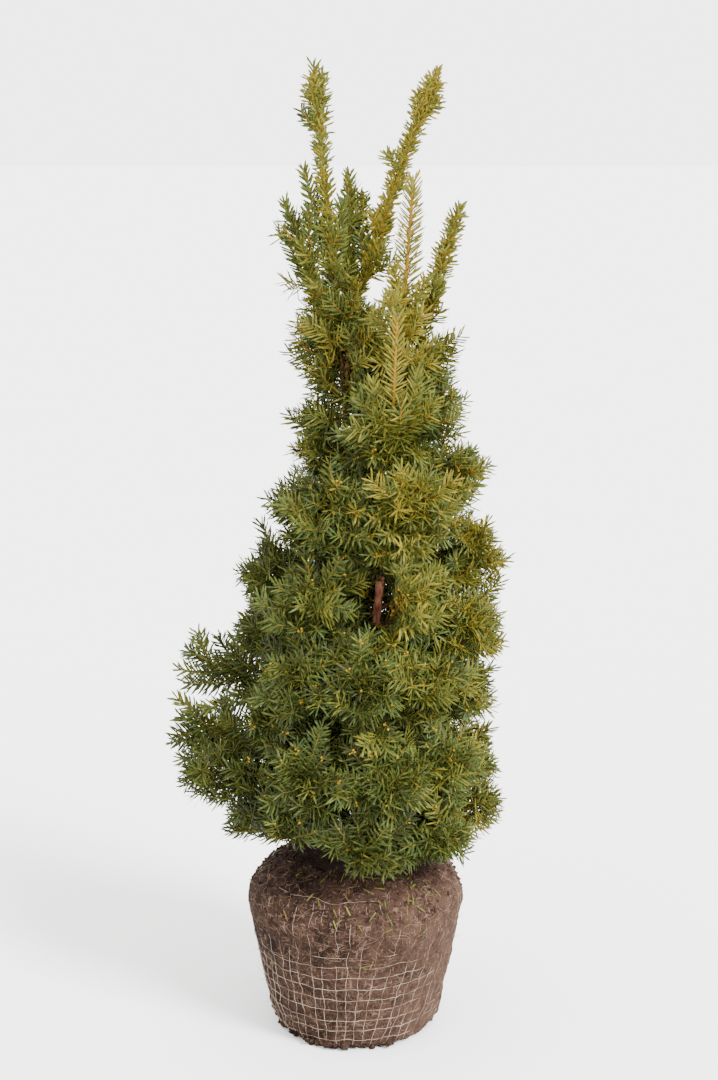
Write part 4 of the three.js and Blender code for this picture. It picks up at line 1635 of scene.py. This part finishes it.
# Side shoots that end at a known place, by mass.
SPRAYS: dict[str, tuple[Spray, ...]] = {
    "skirt_right": (Spray(0.5, (152, -12, 244)), Spray(0.3, (134, -24, 230))),
    "skirt_left": (Spray(0.75, (-134, -14, 246)), Spray(0.55, (-106, -18, 250))),
    "right_low": (Spray(0.5, (160, -8, 320)), Spray(0.62, (154, 4, 362))),
    "right_middle": (Spray(0.55, (153, -14, 442)), Spray(0.5, (150, 8, 394))),
    "right_shoulder": (Spray(0.5, (160, -22, 476)), Spray(0.62, (160, -16, 544))),
    "right_upper": (Spray(0.5, (158, 2, 570)), Spray(0.62, (148, -6, 612))),
    "right_crown": (Spray(0.4, (110, -20, 742)),),
    "left_crown": (Spray(0.35, (-62, 4, 704)), Spray(0.6, (-56, -8, 742)), Spray(0.5, (-44, -34, 728))),
    "left_shoulder": (Spray(0.3, (-50, -14, 764)),),
    "front_middle": (Spray(0.55, (38, -136, 380)),),
    "front_right_low": (Spray(0.7, (66, -120, 374)),),
    "left_high": (Spray(0.5, (-88, 2, 630)),),
    "left_upper": (Spray(0.5, (-104, 0, 606)), Spray(0.62, (-120, -8, 546))),
    "left_middle": (Spray(0.6, (-130, -8, 466)),),
    "far_left_upper": (
        Spray(0.35, (-160, 0, 452)), Spray(0.5, (-196, -14, 426)), Spray(0.25, (-176, -22, 398)),
        Spray(0.15, (-138, -24, 462)), Spray(0.6, (-206, 8, 436)),
    ),
    "far_left": (
        Spray(0.5, (-207, -10, 330)), Spray(0.3, (-158, -14, 306)), Spray(0.5, (-206, 6, 398)),
        Spray(0.25, (-186, -20, 350)), Spray(0.15, (-150, -26, 384)), Spray(0.6, (-214, -8, 352)),
        Spray(0.35, (-186, 14, 312)),
    ),
    "front_crown": (
        Spray(0.15, (46, -86, 862), FRONT_COMB, (40, -88, 705)),
        Spray(0.3, (20, -80, 790), BOLD, (26, -84, 715)),
        Spray(0.4, (68, -76, 805), BOLD, (62, -80, 730)),
    ),
    "left_plume": (Spray(0.3, (-54, 2, 1008), SMALL_TIP), Spray(0.2, (-16, 10, 972), SMALL_TIP)),
    "upper_left": (
        Spray(0.5, (-74, -6, 972), SMALL_TIP), Spray(0.3, (-76, -2, 940), SMALL_TIP),
        Spray(0.2, (-58, -14, 930), SMALL_TIP), Spray(0.6, (-52, -12, 968), SMALL_TIP),
    ),
    "inner_spray": (Spray(0.45, (-7, 26, 1000), SMALL_TIP), Spray(0.35, (8, 32, 974), SMALL_TIP)),
    "second_plume": (Spray(0.12, (24, 6, 930), SMALL_TIP), Spray(0.22, (34, 14, 955), SMALL_TIP)),
    "centre_plume": (Spray(0.3, (44, -22, 905), SMALL_TIP), Spray(0.2, (76, -22, 892), SMALL_TIP)),
    "right_plume": (Spray(0.3, (90, -2, 893), SMALL_TIP),),
}


# Heights between which the crown's middle line follows the trunk.
CORE_FOOT, CORE_TOP = 209.0, 800.0


def core_line(points: Array) -> Array:
    """Point of the crown's middle line at the height of each point."""
    height = points[..., 2]
    line = TRUNK.curve.at(np.clip((height - CORE_FOOT) / (CORE_TOP - CORE_FOOT), 0, 1))
    return np.stack([line[..., 0], line[..., 1], height], axis=-1)


TONES = [Tone.SHADE, Tone.DEEP, Tone.BLUE, Tone.MID, Tone.LIME, Tone.GOLD, Tone.UNDER, Tone.UNDER_GOLD]
SHADE, DEEP, BLUE, MID, LIME, GOLD, UNDER, UNDER_GOLD = range(len(TONES))
# Tone of a needle's lower side by that of its upper side.
UNDERSIDE = np.array([DEEP, UNDER, UNDER, UNDER, UNDER_GOLD, UNDER_GOLD, UNDER, UNDER_GOLD])
BARKS = [Bark.TWIG, Bark.YOUNG, Bark.AMBER]
BROWN, YOUNG, AMBER = range(len(BARKS))


@dataclass(frozen=True)
class Lightness:
    """How light and yellow a spray is: more towards the top, the right, its tip, and on a golden streak.

    The top, the right and the outermost shoots are lighter partly by golden growth and partly as
    painted light from above and from the right, and shoots deep in the crown are darker as painted
    shade. A foot in the middle of the crown stays darker.
    """

    # The height and the right add painted light from above and from the right to the golden growth there.
    height: float = 0.42
    right: float = 0.26
    # The outward share adds painted light on the outermost shoots and painted shade inside the crown.
    outward: float = 0.42
    patch: float = 0.15
    patch_size: float = 90.0
    streak: float = 0.36
    low: float = -0.08
    least: float = -0.02

    def at(self, place: Array, outward: float) -> float:
        """The lightness at a place, where outward is 1 on the outermost shoots and 0 inside."""
        x, z = place[0], place[2]
        patch = float(rough(place[None], self.patch_size, 41, 2)[0])
        streak = math.exp(-(((x - 50) / 38) ** 2)) * np.clip((z - 450) / 220, 0, 1)
        low = math.exp(-(((x - 10) / 70) ** 2)) * np.clip((520 - z) / 80, 0, 1)
        # Painted light towards the top, the right and the outermost shoots, and painted shade inside the
        # crown.
        light = self.height * (z - 200) / 900 + self.right * x / 170 + self.outward * outward
        return light + self.patch * patch + self.streak * streak + self.low * low + self.least


@dataclass
class Foliage:
    """Needles, twigs and buds of every mass.

    The needles' light comes from above, from outside the crown and, on its front half, from the
    front. Inside the crown, nearer than the inner depth to its middle line, needles stand further
    apart up to a height.
    """

    limbs: dict[str, Limb]
    masses: dict[str, Mass]
    lightness: Lightness = Lightness()
    tone_jitter: float = 0.14
    tone_limits: tuple[float, ...] = (0.10, 0.30, 0.58, 0.86)
    blue_below: float = 450.0
    blue_share: float = 0.24
    stray_share: float = 0.12
    light_above: float = 0.5
    light_outside: float = 0.7
    light_in_front: float = 0.5
    light_jitter: float = 0.22
    inner_depth: float = 52.0
    inner_top: float = 640.0
    inner_spacing: float = 1.35
    # Painted shade: shoots nearer than the dark depth to the crown's middle line are darkest, it fades out
    # by the light depth, and none is painted from the open height up.
    dark_depth: float = 30.0
    light_depth: float = 100.0
    open_from: float = 800.0
    lowest: float = 221.0
    bud_lowest: float = 227.0
    bud_radius: float = 1.5
    swell_length: float = 46.0

    def tone(self, place: Array, outward: float, more: float, rng: Random) -> int:
        """Picks a spray's tone number.

        Args:
            place: Where the spray is.
            outward: 1 on the outermost shoots and 0 or less inside.
            more: What is added to its lightness.
            rng: Random numbers.

        Returns:
            The number in the list of tones.
        """
        light = self.lightness.at(place, outward) + more + rng.normal(0, self.tone_jitter)
        step = int(np.searchsorted(self.tone_limits, light, side="right"))
        if step < BLUE:
            return step
        blue = step == BLUE and place[2] < self.blue_below and rng.random() < self.blue_share
        return BLUE if blue else step + 1

    def tones(
        self, shoot: Shoot, depth: float, along: Array, under: Array, rng: Random
    ) -> Array:
        """Tone numbers of a shoot's needles: darker deep in the crown and a tone darker under it, both as
        painted shade, and some a tone off.

        Args:
            shoot: The shoot.
            depth: Distance of its middle from the crown's middle line.
            along: Place of each needle from 0 at the root to 1 at the tip.
            under: Which needles stand under the shoot; they get a tone of painted shade.
            rng: Random numbers.

        Returns:
            One number for each needle.
        """
        # Painted shade: the deeper a shoot stands in the crown, the darker its tone.
        shallow = (depth - self.dark_depth) / (self.light_depth - self.dark_depth)
        outside = np.clip(shallow, 0, 1) if shoot.curve.at(0.5)[2] < self.open_from else 1.0
        outward = (1.0 if shoot.order > 1 else 0.5) * outside - 0.3 * (1 - outside)
        count = len(along)
        tones = np.full(count, self.tone(shoot.curve.at(0.7), outward, shoot.habit.light, rng))
        if shoot.habit in COMBS:
            tones = np.where(rng.random(count) < 0.25 + 0.5 * along, GOLD, LIME)
        # Painted shade: needles under the shoot are a tone darker; strays are a tone off at random.
        darker = under | (rng.random(count) < self.stray_share)
        tones = np.where(darker, np.maximum(tones - 1, SHADE), tones)
        lighter = ~under & (rng.random(count) < self.stray_share)
        return np.where(lighter, np.minimum(tones + 1, GOLD), tones)

    def facing(self, shoot: Shoot, outside: Array, rng: Random) -> Array:
        """Unit vector that the upper side of a shoot's ranks is turned to."""
        light = UP * self.light_above + outside * self.light_outside + rng.normal(0, self.light_jitter, 3)
        light = light + FRONTWARD * self.light_in_front * (1 - max(0.0, outside[1]))
        return unit(light if shoot.habit.facing is None else np.array(shoot.habit.facing))

    def needles(self, shoot: Shoot, rng: Random) -> Needles:
        """Needles of one shoot.

        They leave at the golden angle one after the other. Across the light they are gathered into
        two ranks by a' = a - g sin 2a / 2. On a shoot that is steep or points straight outward they
        stand more evenly all round. They lean forward towards its tip, and are shorter at both
        ends of it.

        Args:
            shoot: The shoot that bears them.
            rng: Random numbers.

        Returns:
            The needles.
        """
        habit = shoot.habit
        leafy = max(shoot.length - shoot.bare, 6.0)
        middle = shoot.curve.at(0.5)
        depth = np.linalg.norm(middle - core_line(middle))
        inner = depth < self.inner_depth and middle[2] < self.inner_top
        count = max(4, int(leafy / habit.pitch / (self.inner_spacing if inner else 1.0)))
        along = (np.arange(count) + rng.uniform(0.1, 0.9, count)) / count
        shares = np.clip((shoot.bare + along * leafy) / shoot.length, 0, 1)
        base, tangent = shoot.curve.at(shares), shoot.curve.tangent(shares)
        outside = unit((middle - core_line(middle)) * LEVEL)
        facing = self.facing(shoot, outside, rng)
        above = unit(facing - tangent * (tangent @ facing)[:, None])
        side = np.cross(above, tangent)
        level = 1 - np.abs(tangent[:, 2]) ** 2
        ranked = habit.gather * (1 - 0.8 * (tangent @ outside) ** 2) * blend(0.35, 1.0, level)
        ranked = np.clip(ranked, 0, 1)
        turn = np.radians(RULE.golden_angle) * np.arange(count) + rng.uniform(-0.15, 0.15, count)
        turn = turn - ranked * np.sin(2 * turn) / 2
        radial = side * np.cos(turn)[:, None] + above * (np.sin(turn) * (1 - 0.5 * ranked))[:, None]
        radial = unit(radial + above * (0.25 * ranked)[:, None])
        late = np.clip((along - 0.75) / 0.25, 0, 1)
        wide = blend(habit.erect_angle, habit.angle, level)
        lean = np.radians(blend(wide, habit.tip_angle, late**1.5) + rng.normal(0, 5, count))
        start = tangent * np.cos(lean)[:, None] + radial * np.sin(lean)[:, None]
        end = unit(start + tangent * 0.22 + UP * 0.05 + rng.normal(0, 0.035, (count, 3)))
        top = above + tangent * 0.25 + rng.normal(0, 0.2, (count, 3))
        size = 0.74 + 0.26 * np.sin(np.pi * np.clip(along * 1.05 + 0.12, 0, 1))
        wave = np.sin(2 * np.pi * shares * shoot.length / self.swell_length + 2.0 * shoot.length)
        length = habit.length * size * rng.uniform(0.88, 1.1, count) * (1 + habit.swell * wave)
        width = habit.width * rng.uniform(0.85, 1.1, count)
        # Needles turned away from the facing stand under the shoot and get painted shade.
        tones = self.tones(shoot, depth, along, radial @ facing < -0.15, rng)
        made = Needles(base, start, end, top, length, width, tones)
        seen = ~in_view(made.line(1.0)) & ~in_view(made.line(0.5))
        ends = made.line(1.0)
        return made.keep(seen & (ends[:, 2] > self.lowest + BARE_SOIL.lift(ends)))

    def twigs(self, shoots: Sequence[Shoot], rng: Random) -> Surface:
        """Tubes round the shoots: brown bark near the root of a stem, and young bark further out.

        Young bark is green low down on the left, and amber towards the top and the right.

        Args:
            shoots: The shoots of a level.
            rng: Random numbers.

        Returns:
            The tubes as one surface.
        """
        made = []
        # Columns: order, points of a line, sides of a tube, brown share of it, radius at the tip.
        for order, steps, sides, brown_share, tip in (
            (0, 24, 7, 0.7, 1.15), (1, 6, 4, 0.4, 0.55), (2, 4, 3, 0.0, 0.55), (3, 3, 3, 0.0, 0.55)
        ):
            chosen = [shoot for shoot in shoots if shoot.order == order]
            if not chosen:
                continue
            shares = np.linspace(0, 1, steps)
            lines = np.stack([shoot.curve.at(shares) for shoot in chosen])
            roots = np.array([shoot.root_radius for shoot in chosen])[:, None]
            golden = np.array([shoot.habit in COMBS for shoot in chosen])
            radii = blend(roots, np.where(golden, 1.6, tip)[:, None], shares[None] ** 0.8)
            middle = lines[:, steps // 2]
            warm = middle[:, 0] / 420 + (middle[:, 2] - 460) / 800 + golden
            young = np.where(rng.random(len(chosen)) < warm, AMBER, YOUNG)
            brown = np.where(middle[:, 2] > 860, 0.3, brown_share) * ~golden
            slots = np.where(shares[None, 1:] < brown[:, None], BROWN, young[:, None])
            made.append(tubes(lines, radii, sides, slots))
        return Surface.join(made)

    def buds(self, shoots: Sequence[Shoot], rng: Random) -> Array:
        """Places round buds: up to four at a rosette's tip, and rows in the axils of some twigs.

        Args:
            shoots: The shoots of a mass.
            rng: Random numbers.

        Returns:
            A place for each bud.
        """
        places = []
        for shoot in shoots:
            if shoot.order == 0:
                continue
            if shoot.habit is ROSETTE:
                count = int(rng.integers(0, 5))
                places.append(shoot.curve.at(rng.uniform(0.92, 1.0, count)) + rng.normal(0, 1.5, (count, 3)))
                continue
            place = shoot.curve.at(0.5)
            clustered = 5 < place[0] < 125 and 430 < place[2] < 720 and place[1] < 0
            chance = 0.02 + 0.12 * float(rough(place[None], 110.0, 57, 2)[0]) + 0.24 * clustered
            if rng.random() > chance:
                continue
            count = int(rng.integers(4, 10))
            shares = np.sort(rng.uniform(0.1, 0.85, count))
            below = unit(rng.normal(0, 0.5, (count, 3)) - UP * 0.5)
            places.append(shoot.curve.at(shares) + below * (self.bud_radius + 0.5))
        places = np.concatenate(places) if places else np.zeros((0, 3))
        return places[places[:, 2] > self.bud_lowest + BARE_SOIL.lift(places)]

    def bud_surface(self, places: Array, rng: Random) -> Surface:
        """Small closed balls of two rings of six corners."""
        corners, faces = ball((-0.45, 0.45), (0.88, 0.88), 6)
        size = self.bud_radius * rng.uniform(0.75, 1.25, (len(places), 1, 1))
        return Surface.copies(places[:, None] + corners * size, faces, np.zeros(len(places), int))

    def build(self) -> None:
        """Makes a piece of needles and a piece of twigs for each level, and the buds."""
        growth = Growth(self.limbs)
        bud_places = []
        sprays = []
        crown = [mass for mass in self.masses.values() if mass.zone is not Zone.PLUMES]
        rosettes = FRONT.rosettes(crown, np.random.default_rng(2100))
        for number, limb in enumerate(self.limbs.values()):
            rng = np.random.default_rng(3000 + number)
            twigs = growth.on_limb(limb, rng)
            sprays += twigs + [small for twig in twigs for small in growth.twiglets(twig, None, rng)]
        for number, zone in enumerate(Zone):
            rng = np.random.default_rng(7000 + number)
            title, _, slot = zone.value
            shoots = [shoot for shoot in sprays if Zone.at(shoot.curve.at(0.0)[2]) is zone]
            needles = [self.needles(shoot, rng) for shoot in shoots]
            masses = [mass for mass in self.masses.values() if mass.zone is zone]
            for mass in masses:
                rng = np.random.default_rng(5000 + mass.seed)
                grown = growth.grow(mass) + rosettes.get(mass.name, [])
                shoots += grown
                needles += [self.needles(shoot, rng) for shoot in grown]
                bud_places.append(self.buds(grown, rng))
            surface = Needles.join(needles).surface(lambda upper: UNDERSIDE[upper])
            names = [mass.name for mass in masses]
            surface.piece(f"needles_{title}", TONES, names, slot, smooth=False)
            self.twigs(shoots, rng).piece(f"twigs_{title}", BARKS, [], "bark")
        buds = self.bud_surface(np.concatenate(bud_places), np.random.default_rng(77))
        buds.piece("buds", [BUD], [], "needles_yellow_green")


# ---- Root ball ----


@dataclass
class RootBall:
    """The ball of soil with its net, root fibres, crumbs and fallen needles."""

    foot_radius: float = 92.0
    edge_radius: float = 101.0
    edge_height: float = 9.0
    wide_radius: float = 128.0
    wide_height: float = 155.0
    seat_radius: float = 56.0
    height: float = 209.0
    mean_radius: float = 118.0
    edge_share: float = 0.12
    wide_share: float = 0.66
    around: int = 420
    up: int = 190
    lip_height: float = 188.0
    net_ribs: int = 53
    net_rows: int = 9
    net_pitch: float = 14.5
    net_lowest: float = 14.0
    net_wander: float = 4.0
    net_slant: float = 0.34
    fibre_count: int = 1500
    crumb_count: int = 1500
    fallen_count: int = 130

    def profile(self, share: Array) -> tuple[Array, Array]:
        """Radius and height at a share of the way from the foot's rim over the shoulder to the seat.

        The side is straight from the edge's share to the widest ring's, and a quarter ellipse
        leads from there to the seat at 1.
        """
        knots = (0, self.edge_share, self.wide_share)
        radius = np.interp(share, knots, (self.foot_radius, self.edge_radius, self.wide_radius))
        height = np.interp(share, knots, (0.0, self.edge_height, self.wide_height))
        over, bend = share > self.wide_share, self.bend(share)
        round_radius = blend(self.seat_radius, self.wide_radius, np.cos(bend))
        round_height = blend(self.wide_height, self.height, np.sin(bend))
        return np.where(over, round_radius, radius), np.where(over, round_height, height)

    def bend(self, share: Array) -> Array:
        """Turn of the skin over the shoulder in radians: 0 on the side, and level at the seat."""
        return np.clip((share - self.wide_share) / (1 - self.wide_share), 0, 1) * np.pi / 2

    def share_of_height(self, height: Array) -> Array:
        """Share at which the side or the shoulder passes a height."""
        rise = np.clip((height - self.wide_height) / (self.height - self.wide_height), 0, 1)
        over = blend(self.wide_share, 1.0, np.arcsin(rise) * 2 / np.pi)
        heights = (0.0, self.edge_height, self.wide_height)
        side = np.interp(height, heights, (0.0, self.edge_share, self.wide_share))
        return np.where(rise > 0, over, side)

    def skin(self, turn: Array, share: Array, proud: Array | float = 0.0) -> Array:
        """Points of the soil's skin.

        The even profile is moved out by layered noise: lumps everywhere, a ragged foot, a
        crumbled top, and a lip where the loose top soil overhangs the wrapped side.

        Args:
            turn: Angles round the ball in radians.
            share: Shares of the profile.
            proud: How far outside the skin the points lie.

        Returns:
            Points along the last axis.
        """
        radius, height = self.profile(share)
        ring = np.stack([np.cos(turn), np.sin(turn), np.zeros_like(turn)], axis=-1)
        even = ring * radius[..., None] + UP * height[..., None]
        bend = self.bend(share)[..., None]
        out = ring * np.cos(bend) + UP * np.sin(bend)
        low = np.clip(1 - height / 26, 0, 1)
        lip_at = self.lip_height + 7 * rough(even * LEVEL, 60.0, 21, 2)
        loose = 1 / (1 + np.exp(-(height - lip_at) / 1.6))
        fade = np.clip((1 - share) / 0.05, 0, 1)
        move = 3.0 * rough(even, 46.0, 22, 3) + 2.0 * rough(even, 9.0, 23, 4)
        move += loose * (0.5 + 3.0 * rough(even, 9.0, 24, 4)) * fade
        move += low * (6.0 * rough(even, 13.0, 25, 4) - 1.5)
        move += 1.2 * np.clip(height / 40, 0, 1) * fade
        point = even + out * (move + proud)[..., None]
        floor = np.where(share < 0.03, 0.0, 0.4)
        return np.concatenate([point[..., :2], np.maximum(point[..., 2:], floor[..., None])], -1)

    def soil(self) -> Surface:
        """The skin as a closed grid: a flat foot, the side, the shoulder and the seat."""
        shares = np.linspace(0, 1, self.up)
        turns = np.arange(self.around) * 2 * np.pi / self.around
        grid = self.skin(*np.meshgrid(turns, shares))
        grid[0, :, 2] = 0.0
        vertices = np.concatenate([grid.reshape(-1, 3), [0 * UP, UP * self.height]])
        foot, seat, last = len(vertices) - 2, len(vertices) - 1, (self.up - 1) * self.around
        faces = np.concatenate([
            wall_faces(self.up, self.around), point_faces(foot, 0, self.around, True),
            point_faces(seat, last, self.around, False),
        ])
        middles = vertices[faces].mean(axis=1)
        line = self.lip_height + 2 + 10 * rough(middles * LEVEL, 40.0, 31, 4)
        line = line + 0.06 * middles[:, 0]
        return Surface(vertices, faces, (middles[:, 2] > line).astype(int))

    def net(self) -> Surface:
        """The string net: upright strings and hoops that wander, slant and sink into the soil."""
        return Surface.join([self.ribs(), self.hoops(), self.hem()])

    def ribs(self) -> Surface:
        """Upright strings. They slant most on the right, and each wanders by layered noise."""
        rng = np.random.default_rng(90)
        count = self.net_ribs
        start = (np.arange(count) + rng.uniform(-0.18, 0.18, count))[:, None] * 2 * np.pi / count
        slant = self.net_slant * np.clip(np.cos(start + 0.45), -0.03, 1) ** 2
        rise = np.linspace(0, 1, 180)[None]
        height = blend(3.0, self.lip_height, rise) + 0 * start
        turn = start + slant * (rise - 0.3) * 2
        wander = np.stack([turn * 60, height / 1.2, height * 0], -1)
        turn = turn + self.net_wander / self.mean_radius * rough(wander, 13.0, 33, 3)
        return self.strings(turn, height, 34, 0.12)

    def hoops(self) -> Surface:
        """Level strings, a little higher on the right, whose height wanders by layered noise."""
        turn = np.linspace(0, 2 * np.pi, 700)[None]
        ring = np.stack([np.cos(turn), np.sin(turn), 0 * turn], -1) * self.mean_radius
        rows = np.arange(self.net_rows)[:, None]
        height = self.net_lowest + rows * self.net_pitch
        height = height + 4.5 * rough(ring + rows[..., None] * 7.0, 34.0, 35, 4) + 2.5 * np.cos(turn)
        height = np.clip(height, 2.5, 168)
        return self.strings(turn + 0 * height, height, 36, 0.3)

    def hem(self) -> Surface:
        """The string along the net's upper edge, where it shows at the front left."""
        turn = np.linspace(-2.5, -1.35, 120)[None]
        place = np.stack([turn * self.mean_radius, turn, turn], -1)
        height = self.lip_height + 3 + 3 * rough(place, 30.0, 38, 3)
        return self.strings(turn, height, 39, -0.5)

    def strings(self, turn: Array, height: Array, seed: int, sunk: float) -> Surface:
        """Strings along lines on the side, given by their turns and heights.

        A string lies just outside the skin where it shows and sinks below it where slow noise
        is under a limit. It shows best low down at the front left, and is finest towards the lip.

        Args:
            turn: Angles round the ball in radians, as (strings, points).
            height: Heights in millimetres, in the same shape.
            seed: Picks one of many patterns.
            sunk: The limit. A higher one hides more.

        Returns:
            The strings as one surface.
        """
        skin = self.skin(turn, self.share_of_height(height))
        left = np.clip(np.cos(turn + 2.2) * 1.6 + 0.15, 0, 1)
        low = np.clip((126 - height) / 34, 0, 1)
        clean = left * low
        shown = rough(skin, 20.0, seed, 3) - sunk + (0.5 + sunk) * clean + 0.22 * left - 0.12 * (1 - low)
        proud = np.clip(shown * 3.0, -1.2, 0.3)
        lines = self.skin(turn, self.share_of_height(height), proud)
        radii = 0.19 + 0.13 * clean
        return tubes(lines, radii, 4, np.zeros(len(lines), int))

    def fibres(self) -> Surface:
        """Fine roots that curl over the skin, and a few that stick out of it."""
        rng = np.random.default_rng(91)
        count, steps = self.fibre_count, 8
        turn = rng.uniform(0, 2 * np.pi, count)[:, None]
        share = rng.uniform(0.03, 0.9, count)[:, None]
        along = np.linspace(-1, 1, steps)[None]
        lean = rng.uniform(0, np.pi, count)[:, None]
        size = rng.uniform(2, 12, count)[:, None]
        curl = rng.normal(0, 0.4, count)[:, None]
        turn = turn + (np.cos(lean) * along - curl * along**2 * np.sin(lean)) * size / self.mean_radius
        share = share + (np.sin(lean) * along + curl * along**2 * np.cos(lean)) * size / 330
        stray = np.where(rng.random(count)[:, None] < 0.06, 3.5 * (along + 1), 0.0)
        lines = self.skin(turn, np.clip(share, 0.01, 0.99), 0.1 + stray)
        radii = np.tile(rng.uniform(0.12, 0.25, count)[:, None], (1, steps))
        return tubes(lines, radii, 4, np.zeros(count, int))

    def crumbs(self) -> Surface:
        """Small clods: balls of four rings of six, each corner moved by noise.

        They lie on the shoulder and round the foot, where half of them are larger and gather at
        the front left.
        """
        rng = np.random.default_rng(92)
        count, foot = self.crumb_count, self.edge_share
        turn = rng.uniform(0, 2 * np.pi, count)
        share = np.where(rng.random(count) < 0.72, rng.uniform(0.7, 1, count), rng.uniform(0, foot, count))
        ragged = (share < foot) & (rng.random(count) < 0.5)
        turn = np.where(ragged, rng.normal(-2.1, 0.45, count), turn)
        size = rng.gamma(2.2, 0.5, count).clip(0.5, 2.7) * (1 + 0.8 * ragged)
        centre = self.skin(turn, share, size * (0.1 + 0.5 * ragged))[:, None]
        lifts = np.linspace(-1, 1, 6)[1:-1]
        corners, faces = ball(lifts, np.sqrt(1 - lifts**2), 6)
        vertices = corners * size[:, None, None] * rng.uniform(0.7, 1.2, (count, 1, 3))
        vertices = vertices * (1 + 0.42 * rough(vertices + centre * 3, 2.2, 37, 2))[..., None] + centre
        vertices[..., 2] = np.maximum(vertices[..., 2], 0.0)
        return Surface.copies(vertices, faces, (share > 0.5).astype(int))

    def fallen(self) -> Needles:
        """Needles that lie on the top and on the front right shoulder."""
        rng = np.random.default_rng(93)
        count = self.fallen_count
        turn = np.where(rng.random(count) < 0.5, rng.normal(-1.15, 0.4, count), rng.uniform(0, 6.3, count))
        share = 1 - np.abs(rng.normal(0, 0.17, count))
        here = self.skin(turn, share, 0.6)
        beside = self.skin(turn + 0.02, share, 0.6) - here
        above = self.skin(turn, share + 0.006, 0.6) - here
        normal = unit(np.cross(beside, above))
        lean = rng.uniform(0, 2 * np.pi, count)[:, None]
        way = unit(unit(beside) * np.cos(lean) + unit(above) * np.sin(lean) + normal * 0.12)
        end = unit(way + rng.normal(0, 0.2, (count, 3)) - normal * 0.1)
        size = rng.uniform(9, 17, count)
        tones = rng.choice([0, 1, 2, 3], count, p=[0.42, 0.26, 0.06, 0.26])
        return Needles(here, way, end, normal, size, rng.uniform(1.4, 1.9, count), tones)

    def build(self) -> None:
        """Makes the pieces of the root ball."""
        self.soil().piece("soil_ball", [SOIL, HUMUS], ["root_ball"], "soil")
        self.net().piece("string_net", [STRING], ["ball_net"], "net_string")
        self.fibres().piece("root_fibres", [FIBRE], [], "soil")
        self.crumbs().piece("soil_crumbs", [SOIL, HUMUS], [], "soil")
        tones = [Tone.MID, Tone.LIME, Tone.GOLD, Tone.WITHERED]
        self.fallen().surface(lambda upper: upper).piece(
            "fallen_needles", tones, [], "needles_yellow_green", smooth=False
        )


# ---- Studio ----


@dataclass
class Studio:
    """Pale floor, soft light and the camera."""

    floor_half: float = 30.0
    camera_place: tuple[float, float, float] = (0.0044, -2.161, 1.094)
    camera_tilt: float = 77.0
    camera_reach: float = 100.0
    lens: float = 63.8
    sensor: float = 36.0
    sun_strength: float = 11.0
    fill_share: float = 0.08
    sky_strength: float = 4.25
    sky_colour: Colour = (1.0, 0.995, 0.985)

    def build(self) -> None:
        """Makes the floor, the lights and the camera."""
        self.floor()
        self.sky()
        self.sun("key", (48, 0, 48), self.sun_strength, 18)
        self.sun("fill", (60, 0, -50), self.sun_strength * self.fill_share, 60)
        self.camera()

    def floor(self) -> None:
        """Makes the floor."""
        half = self.floor_half
        mesh = bpy.data.meshes.new("floor")
        corners = [(-half, -half, 0), (half, -half, 0), (half, half, 0), (-half, half, 0)]
        mesh.from_pydata(corners, [], [(0, 1, 2, 3)])
        mesh.materials.append(FloorFinish().material())
        floor = bpy.data.objects.new("floor", mesh)
        bpy.context.scene.collection.objects.link(floor)

    def sky(self) -> None:
        """Makes the even light from all round."""
        world = bpy.data.worlds.new("studio")
        world.use_nodes = True
        sky = world.node_tree.nodes["Background"]
        sky.inputs["Color"].default_value = opaque(self.sky_colour)
        sky.inputs["Strength"].default_value = self.sky_strength
        bpy.context.scene.world = world

    def camera(self) -> None:
        """Makes the camera."""
        camera = bpy.data.cameras.new("camera")
        camera.lens = self.lens
        camera.sensor_width = self.sensor
        camera.clip_end = self.camera_reach
        made = bpy.data.objects.new("camera", camera)
        made.location = self.camera_place
        made.rotation_euler = (math.radians(self.camera_tilt), 0, 0)
        bpy.context.scene.collection.objects.link(made)
        bpy.context.scene.camera = made

    def sun(self, name: str, turn: tuple[float, float, float], strength: float, width: float) -> None:
        """Makes a soft distant lamp, its turn and its width in degrees."""
        lamp = bpy.data.lights.new(name, "SUN")
        lamp.energy = strength
        lamp.angle = math.radians(width)
        made = bpy.data.objects.new(name, lamp)
        made.rotation_euler = tuple(map(math.radians, turn))
        bpy.context.scene.collection.objects.link(made)


def main() -> None:
    """Builds the plant and the studio round it."""
    logging.basicConfig(level=logging.INFO, format="%(name)s %(message)s")
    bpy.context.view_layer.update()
    limbs = grow_limbs()
    masses = place_masses(limbs)
    Wood(limbs).build()
    Foliage(limbs, masses).build()
    RootBall().build()
    Studio().build()


if __name__ == "__main__":
    main()
